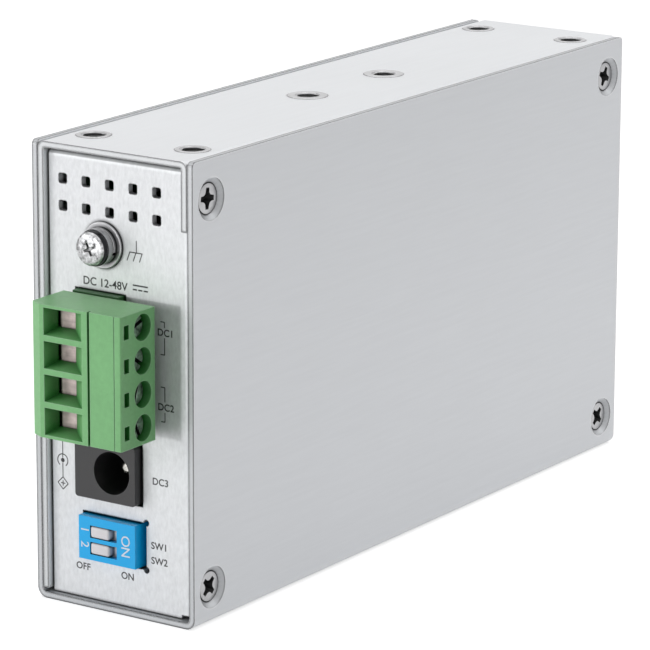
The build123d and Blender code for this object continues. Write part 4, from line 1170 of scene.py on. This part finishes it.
@dataclass
class Sliders:
    """The switch's two sliders, each a flat body with a rounded knob in its window, in millimetres."""

    shelf: MaterialShelf
    body_depth: float = 1.4
    body_round: float = 0.08
    knob_left: float = -4.15
    knob_length: float = 3.5
    knob_half_height: float = 0.9
    knob_front: float = -61.1
    knob_root: float = 0.7
    knob_round: float = 0.42

    @staticmethod
    def soft_block(
        low: Triple, high: Triple, round_by: float,
    ) -> bpy.types.Mesh:
        """Make a block with rounded edges.

        Args:
            low: Its lowest corner in millimetres.
            high: Its highest corner.
            round_by: The radius of its edges.

        Returns:
            The block, in the row frame's millimetres.
        """
        bm = bmesh.new()
        bmesh.ops.create_cube(bm, size=1.0)
        for vert in bm.verts:
            for axis in range(3):
                vert.co[axis] = high[axis] if vert.co[axis] > 0 else low[axis]
        bmesh.ops.bevel(bm, geom=bm.edges[:], offset=round_by, segments=5, profile=0.5, affect="EDGES")
        return smooth_solid(bm, "soft_block")

    def build(self) -> None:
        """Build both sliders from the room that their nodes take."""
        for number in (1, 2):
            name = f"dip_slider_{number}"
            low, high = [[v / MM for v in corner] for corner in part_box(name)]
            middle, back = (low[2] + high[2]) / 2, high[1]
            body = self.soft_block((low[0], back - self.body_depth, low[2]), (high[0], back, high[2]), self.body_round)
            knob = self.soft_block(
                (self.knob_left, self.knob_front, middle - self.knob_half_height),
                (self.knob_left + self.knob_length, back - self.knob_root, middle + self.knob_half_height),
                self.knob_round)
            mesh = join_meshes([body, knob], name + "_dressed")
            mesh.materials.append(self.shelf.get(SWITCH_WHITE))
            mesh.transform(Matrix.Scale(MM, 4))
            finish_piece(name + "_dressed", mesh, f"{name}_body", (name,))


@dataclass
class Markings:
    """Printed words and signs of the power panel and the switch, in millimetres."""

    shelf: MaterialShelf
    panel_y: float = -59.5
    switch_y: float = -61.0
    lift: float = 0.012
    half_thickness: float = 0.006
    letter_swell: float = 0.012
    capital_share: float = 0.7
    stroke: float = 0.13
    bold_stroke: float = 0.2
    words: tuple[Word, ...] = (
        ("DC 12-48V", -6.15, 49.3, 1.2), ("DC1", 7.3, 43.5, 1.05), ("DC2", 7.3, 32.3, 1.05), ("DC3", 6.2, 20.8, 1.05),
        ("SW1", 5.9, 10.9, 1.05), ("SW2", 5.9, 8.6, 1.05), ("OFF", -8.0, 5.4, 1.05), ("ON", 0.35, 5.3, 1.05))
    switch_words: tuple[Word, ...] = (
        ("1", -5.85, 12.75, 1.45), ("2", -5.85, 10.45, 1.45), ("ON", 1.6, 12.6, 1.55))
    ground_sign: tuple[Path, ...] = (
        ((3.64, 57.0), (3.64, 55.2)), ((2.4, 55.2), (4.73, 55.2)), ((2.45, 55.2), (1.95, 53.9)),
        ((3.56, 55.2), (3.06, 53.9)), ((4.68, 55.2), (4.18, 53.9)))
    supply_sign: tuple[Path, ...] = (
        ((2.95, 50.35), (5.65, 50.35)), ((2.95, 49.7), (3.69, 49.7)), ((3.93, 49.7), (4.67, 49.7)),
        ((4.91, 49.7), (5.65, 49.7)))
    brackets: tuple[Path, ...] = (
        ((7.9, 45.6), (8.6, 45.6), (8.6, 44.75)), ((8.6, 43.2), (8.6, 40.7), (7.9, 40.7)),
        ((7.9, 35.8), (8.6, 35.8), (8.6, 33.6)), ((8.6, 32.0), (8.6, 30.6), (7.9, 30.6)))
    polarity_lines: tuple[Path, ...] = (
        ((-10.3, 28.3), (-10.3, 22.1)), ((-10.3, 21.3), (-10.3, 19.1)),
        ((-10.3, 19.1), (-9.35, 18.15), (-10.3, 17.2), (-11.25, 18.15), (-10.3, 19.1)),
        ((-10.7, 18.15), (-9.9, 18.15)), ((-10.3, 18.55), (-10.3, 17.75)))
    polarity_centre: Pair = (-10.3, 21.7)
    polarity_arcs: tuple[Triple, ...] = ((0.95, -55, 235), (0.26, 0, 360), (0.12, 0, 360))

    def add_word(self, bm: bmesh.types.BMesh, text: str, height: float, spread: float, at: Matrix) -> None:
        """Add a word as a thin flat print.

        Args:
            bm: The print so far.
            text: The word.
            height: The height of its capitals.
            spread: The spacing of its letters.
            at: The matrix that puts its lower left corner in place.
        """
        curve = bpy.data.curves.new("word", "FONT")
        curve.body = text
        curve.size = height / self.capital_share
        curve.space_character = spread
        curve.resolution_u = 6
        curve.extrude = self.half_thickness
        curve.offset = self.letter_swell
        source = add_object("word", curve)
        mesh = evaluated(source)
        bpy.data.objects.remove(source)
        bpy.data.curves.remove(curve)
        mesh.transform(at)
        bm.from_mesh(mesh)
        bpy.data.meshes.remove(mesh)

    def add_path(self, bm: bmesh.types.BMesh, points: Path, width: float) -> None:
        """Add a printed path as straight bars from point to point.

        Args:
            bm: The print so far.
            points: The path's points.
            width: Its width.
        """
        rise = Vector((0, 0, self.half_thickness))
        for start, end in zip(points, points[1:]):
            first, last = Vector((*start, 0)), Vector((*end, 0))
            run = last - first
            across = Vector((-run.y, run.x, 0)) / run.length * width / 2
            corners = [first + across, first - across, last - across, last + across]
            low = [bm.verts.new(c - rise) for c in corners]
            high = [bm.verts.new(c + rise) for c in corners]
            bm.faces.new(high)
            bm.faces.new(low[::-1])
            wall_faces(bm, low, high)

    def add_arc(self, bm: bmesh.types.BMesh, radius: float, from_deg: float, to_deg: float) -> None:
        """Add a printed arc of the polarity sign.

        Args:
            bm: The print so far.
            radius: The arc's radius.
            from_deg: The angle that it starts from.
            to_deg: The angle that it ends at.
        """
        steps = 18
        x, z = self.polarity_centre
        angles = [math.radians(from_deg + (to_deg - from_deg) * i / steps) for i in range(steps + 1)]
        self.add_path(bm, tuple((x + radius * math.cos(a), z + radius * math.sin(a)) for a in angles), self.stroke)

    def set_print(self, bm: bmesh.types.BMesh, name: str, at_y: float, finish: Finish) -> None:
        """Lay a print on its face as one thin piece.

        Args:
            bm: The print, drawn flat.
            name: The piece's name.
            at_y: Where the printed face is.
            finish: The print's finish.
        """
        mesh = plain_mesh(bm, name)
        mesh.transform(place(Facing.FRONT, 0, at_y - self.lift, 0))
        mesh.materials.append(self.shelf.get(finish))
        finish_piece(name, mesh, CASE)

    def build_panel_print(self) -> None:
        """Print the panel's words and signs."""
        bm = bmesh.new()
        for text, x, z, height in self.words:
            self.add_word(bm, text, height, 1.02, Matrix.Translation((x, z, 0)))
        for points in self.ground_sign + self.brackets + self.polarity_lines:
            self.add_path(bm, points, self.stroke)
        for points in self.supply_sign:
            self.add_path(bm, points, self.bold_stroke)
        for radius, from_deg, to_deg in self.polarity_arcs:
            self.add_arc(bm, radius, from_deg, to_deg)
        self.set_print(bm, "panel_print", self.panel_y, INK)

    def build_switch_print(self) -> None:
        """Print the switch's numbers and its word, turned a quarter."""
        bm = bmesh.new()
        quarter = Matrix.Rotation(-math.pi / 2, 4, "Z")
        for text, x, z, height in self.switch_words:
            self.add_word(bm, text, height, 0.92, Matrix.Translation((x, z, 0)) @ quarter)
        self.set_print(bm, "switch_print", self.switch_y, WHITE_INK)


@dataclass(frozen=True)
class SoftLight:
    """A square soft light, with its places and its side in metres."""

    name: str
    at: Triple
    size: float
    watts: float
    towards: Triple = (0.0, 0.0, 0.035)

    def hang(self) -> None:
        """Add the light to the scene, turned to the point that it looks at."""
        data = bpy.data.lights.new(self.name, "AREA")
        data.size, data.energy = self.size, self.watts
        light = add_object(self.name, data)
        light.location = self.at
        light.rotation_mode = "QUATERNION"
        light.rotation_quaternion = (Vector(self.towards) - Vector(self.at)).to_track_quat("-Z", "Y")


@dataclass
class Studio:
    """Floor, lights, background and camera."""

    camera_place: Triple = (347.637, -517.489, 192.75)
    azimuth: float = 34.1792
    elevation: float = 14.5197
    roll: float = 0.2201
    focal_pixels: float = 4072.4
    picture_pixels: float = 650.0
    floor_drop: float = 0.00002
    floor_tone: float = 0.8
    floor_lift: float = 0.64
    surround_light: float = 0.22
    surround_seen: float = 1.0
    lights: tuple[SoftLight, ...] = (
        SoftLight("soft_left", (-0.85, -0.75, 0.22), size=0.35, watts=3.0),
        SoftLight("sharp_front", (-0.33, -1.15, 0.045), size=0.05, watts=3.3),
        SoftLight("fill", (0.9, -0.5, 0.5), size=0.8, watts=0.25),
        SoftLight("overhead", (-0.05, 0.2, 1.1), size=1.5, watts=7.4),
        SoftLight("floor_pool", (0.13, 0.12, 0.12), size=0.16, watts=0.03, towards=(0.13, 0.12, 0.0)),
    )

    def build_camera(self) -> None:
        """Set the camera to the photograph's view."""
        data = bpy.data.cameras.new("camera")
        data.sensor_width = 36.0
        data.lens = self.focal_pixels / self.picture_pixels * data.sensor_width
        data.clip_start, data.clip_end = 0.01, 20.0
        camera = add_object("camera", data)
        a, e = math.radians(self.azimuth), math.radians(self.elevation)
        back = Vector((math.sin(a) * math.cos(e), -math.cos(a) * math.cos(e), math.sin(e)))
        camera.rotation_mode = "QUATERNION"
        turn = back.to_track_quat("Z", "Y").to_matrix().to_4x4() @ Matrix.Rotation(math.radians(self.roll), 4, "Z")
        camera.matrix_world = Matrix.Translation(Vector(self.camera_place) * MM) @ turn
        bpy.context.scene.camera = camera

    @staticmethod
    def seen_rays(bench: Bench) -> bpy.types.NodeSocket:
        """Pick out the rays that show a surface to the eye, straight, in a reflection or through glass.

        Args:
            bench: The bench of the material or world.

        Returns:
            The socket that is 1 on such a ray.
        """
        rays = bench.add("ShaderNodeLightPath").outputs
        straight = bench.math("MAXIMUM", rays["Is Camera Ray"], rays["Is Glossy Ray"])
        return bench.math("MAXIMUM", straight, rays["Is Transmission Ray"])

    def build_floor(self) -> None:
        """Lay a wide pale floor that shows as white and keeps the object's shadow."""
        bm = bmesh.new()
        bmesh.ops.create_grid(bm, x_segments=8, y_segments=8, size=6.0)
        mesh = plain_mesh(bm, "floor")
        mesh.transform(Matrix.Translation((0, 0, -self.floor_drop)))
        material = bpy.data.materials.new("floor_paper")
        material.use_nodes = True
        shader = material.node_tree.nodes["Principled BSDF"].inputs
        shader["Base Color"].default_value = (self.floor_tone, self.floor_tone, self.floor_tone, 1)
        shader["Roughness"].default_value = 0.9
        shader["Specular IOR Level"].default_value = 0.0
        shader["Emission Color"].default_value = WHITE
        bench = Bench(material.node_tree)
        bench.feed(shader["Emission Strength"], bench.math("MULTIPLY", self.seen_rays(bench), self.floor_lift))
        mesh.materials.append(material)
        add_object("floor", mesh)

    def build_world(self) -> None:
        """Fill the surroundings: white to the eye and in reflections, softer as light."""
        world = bpy.data.worlds.new("surround")
        bpy.context.scene.world = world
        world.use_nodes = True
        bench = Bench(world.node_tree)
        background = world.node_tree.nodes["Background"].inputs
        background["Color"].default_value = WHITE
        strength = bench.ramp(self.seen_rays(bench), 0.0, 1.0, self.surround_light, self.surround_seen)
        bench.feed(background["Strength"], strength)

    def build(self) -> None:
        """Build the whole studio."""
        self.build_camera()
        self.build_floor()
        self.build_world()
        for light in self.lights:
            light.hang()


def main() -> None:
    """Build the dressed router and log each finished piece."""
    logging.basicConfig(level=logging.INFO, format="%(name)s: %(message)s")
    bpy.context.scene.view_settings.view_transform = "Standard"
    shelf = MaterialShelf()
    shelf.dress_nodes()
    fasteners = Fasteners(shelf, RepeatTree.grid(), RepeatTree.thread())
    fasteners.build_cover_screws()
    fasteners.build_inserts()
    fasteners.build_ground()
    ClampScrews(shelf, fasteners).build()
    Sliders(shelf).build()
    markings = Markings(shelf)
    markings.build_panel_print()
    markings.build_switch_print()
    Studio().build()


if __name__ == "__main__":
    main()
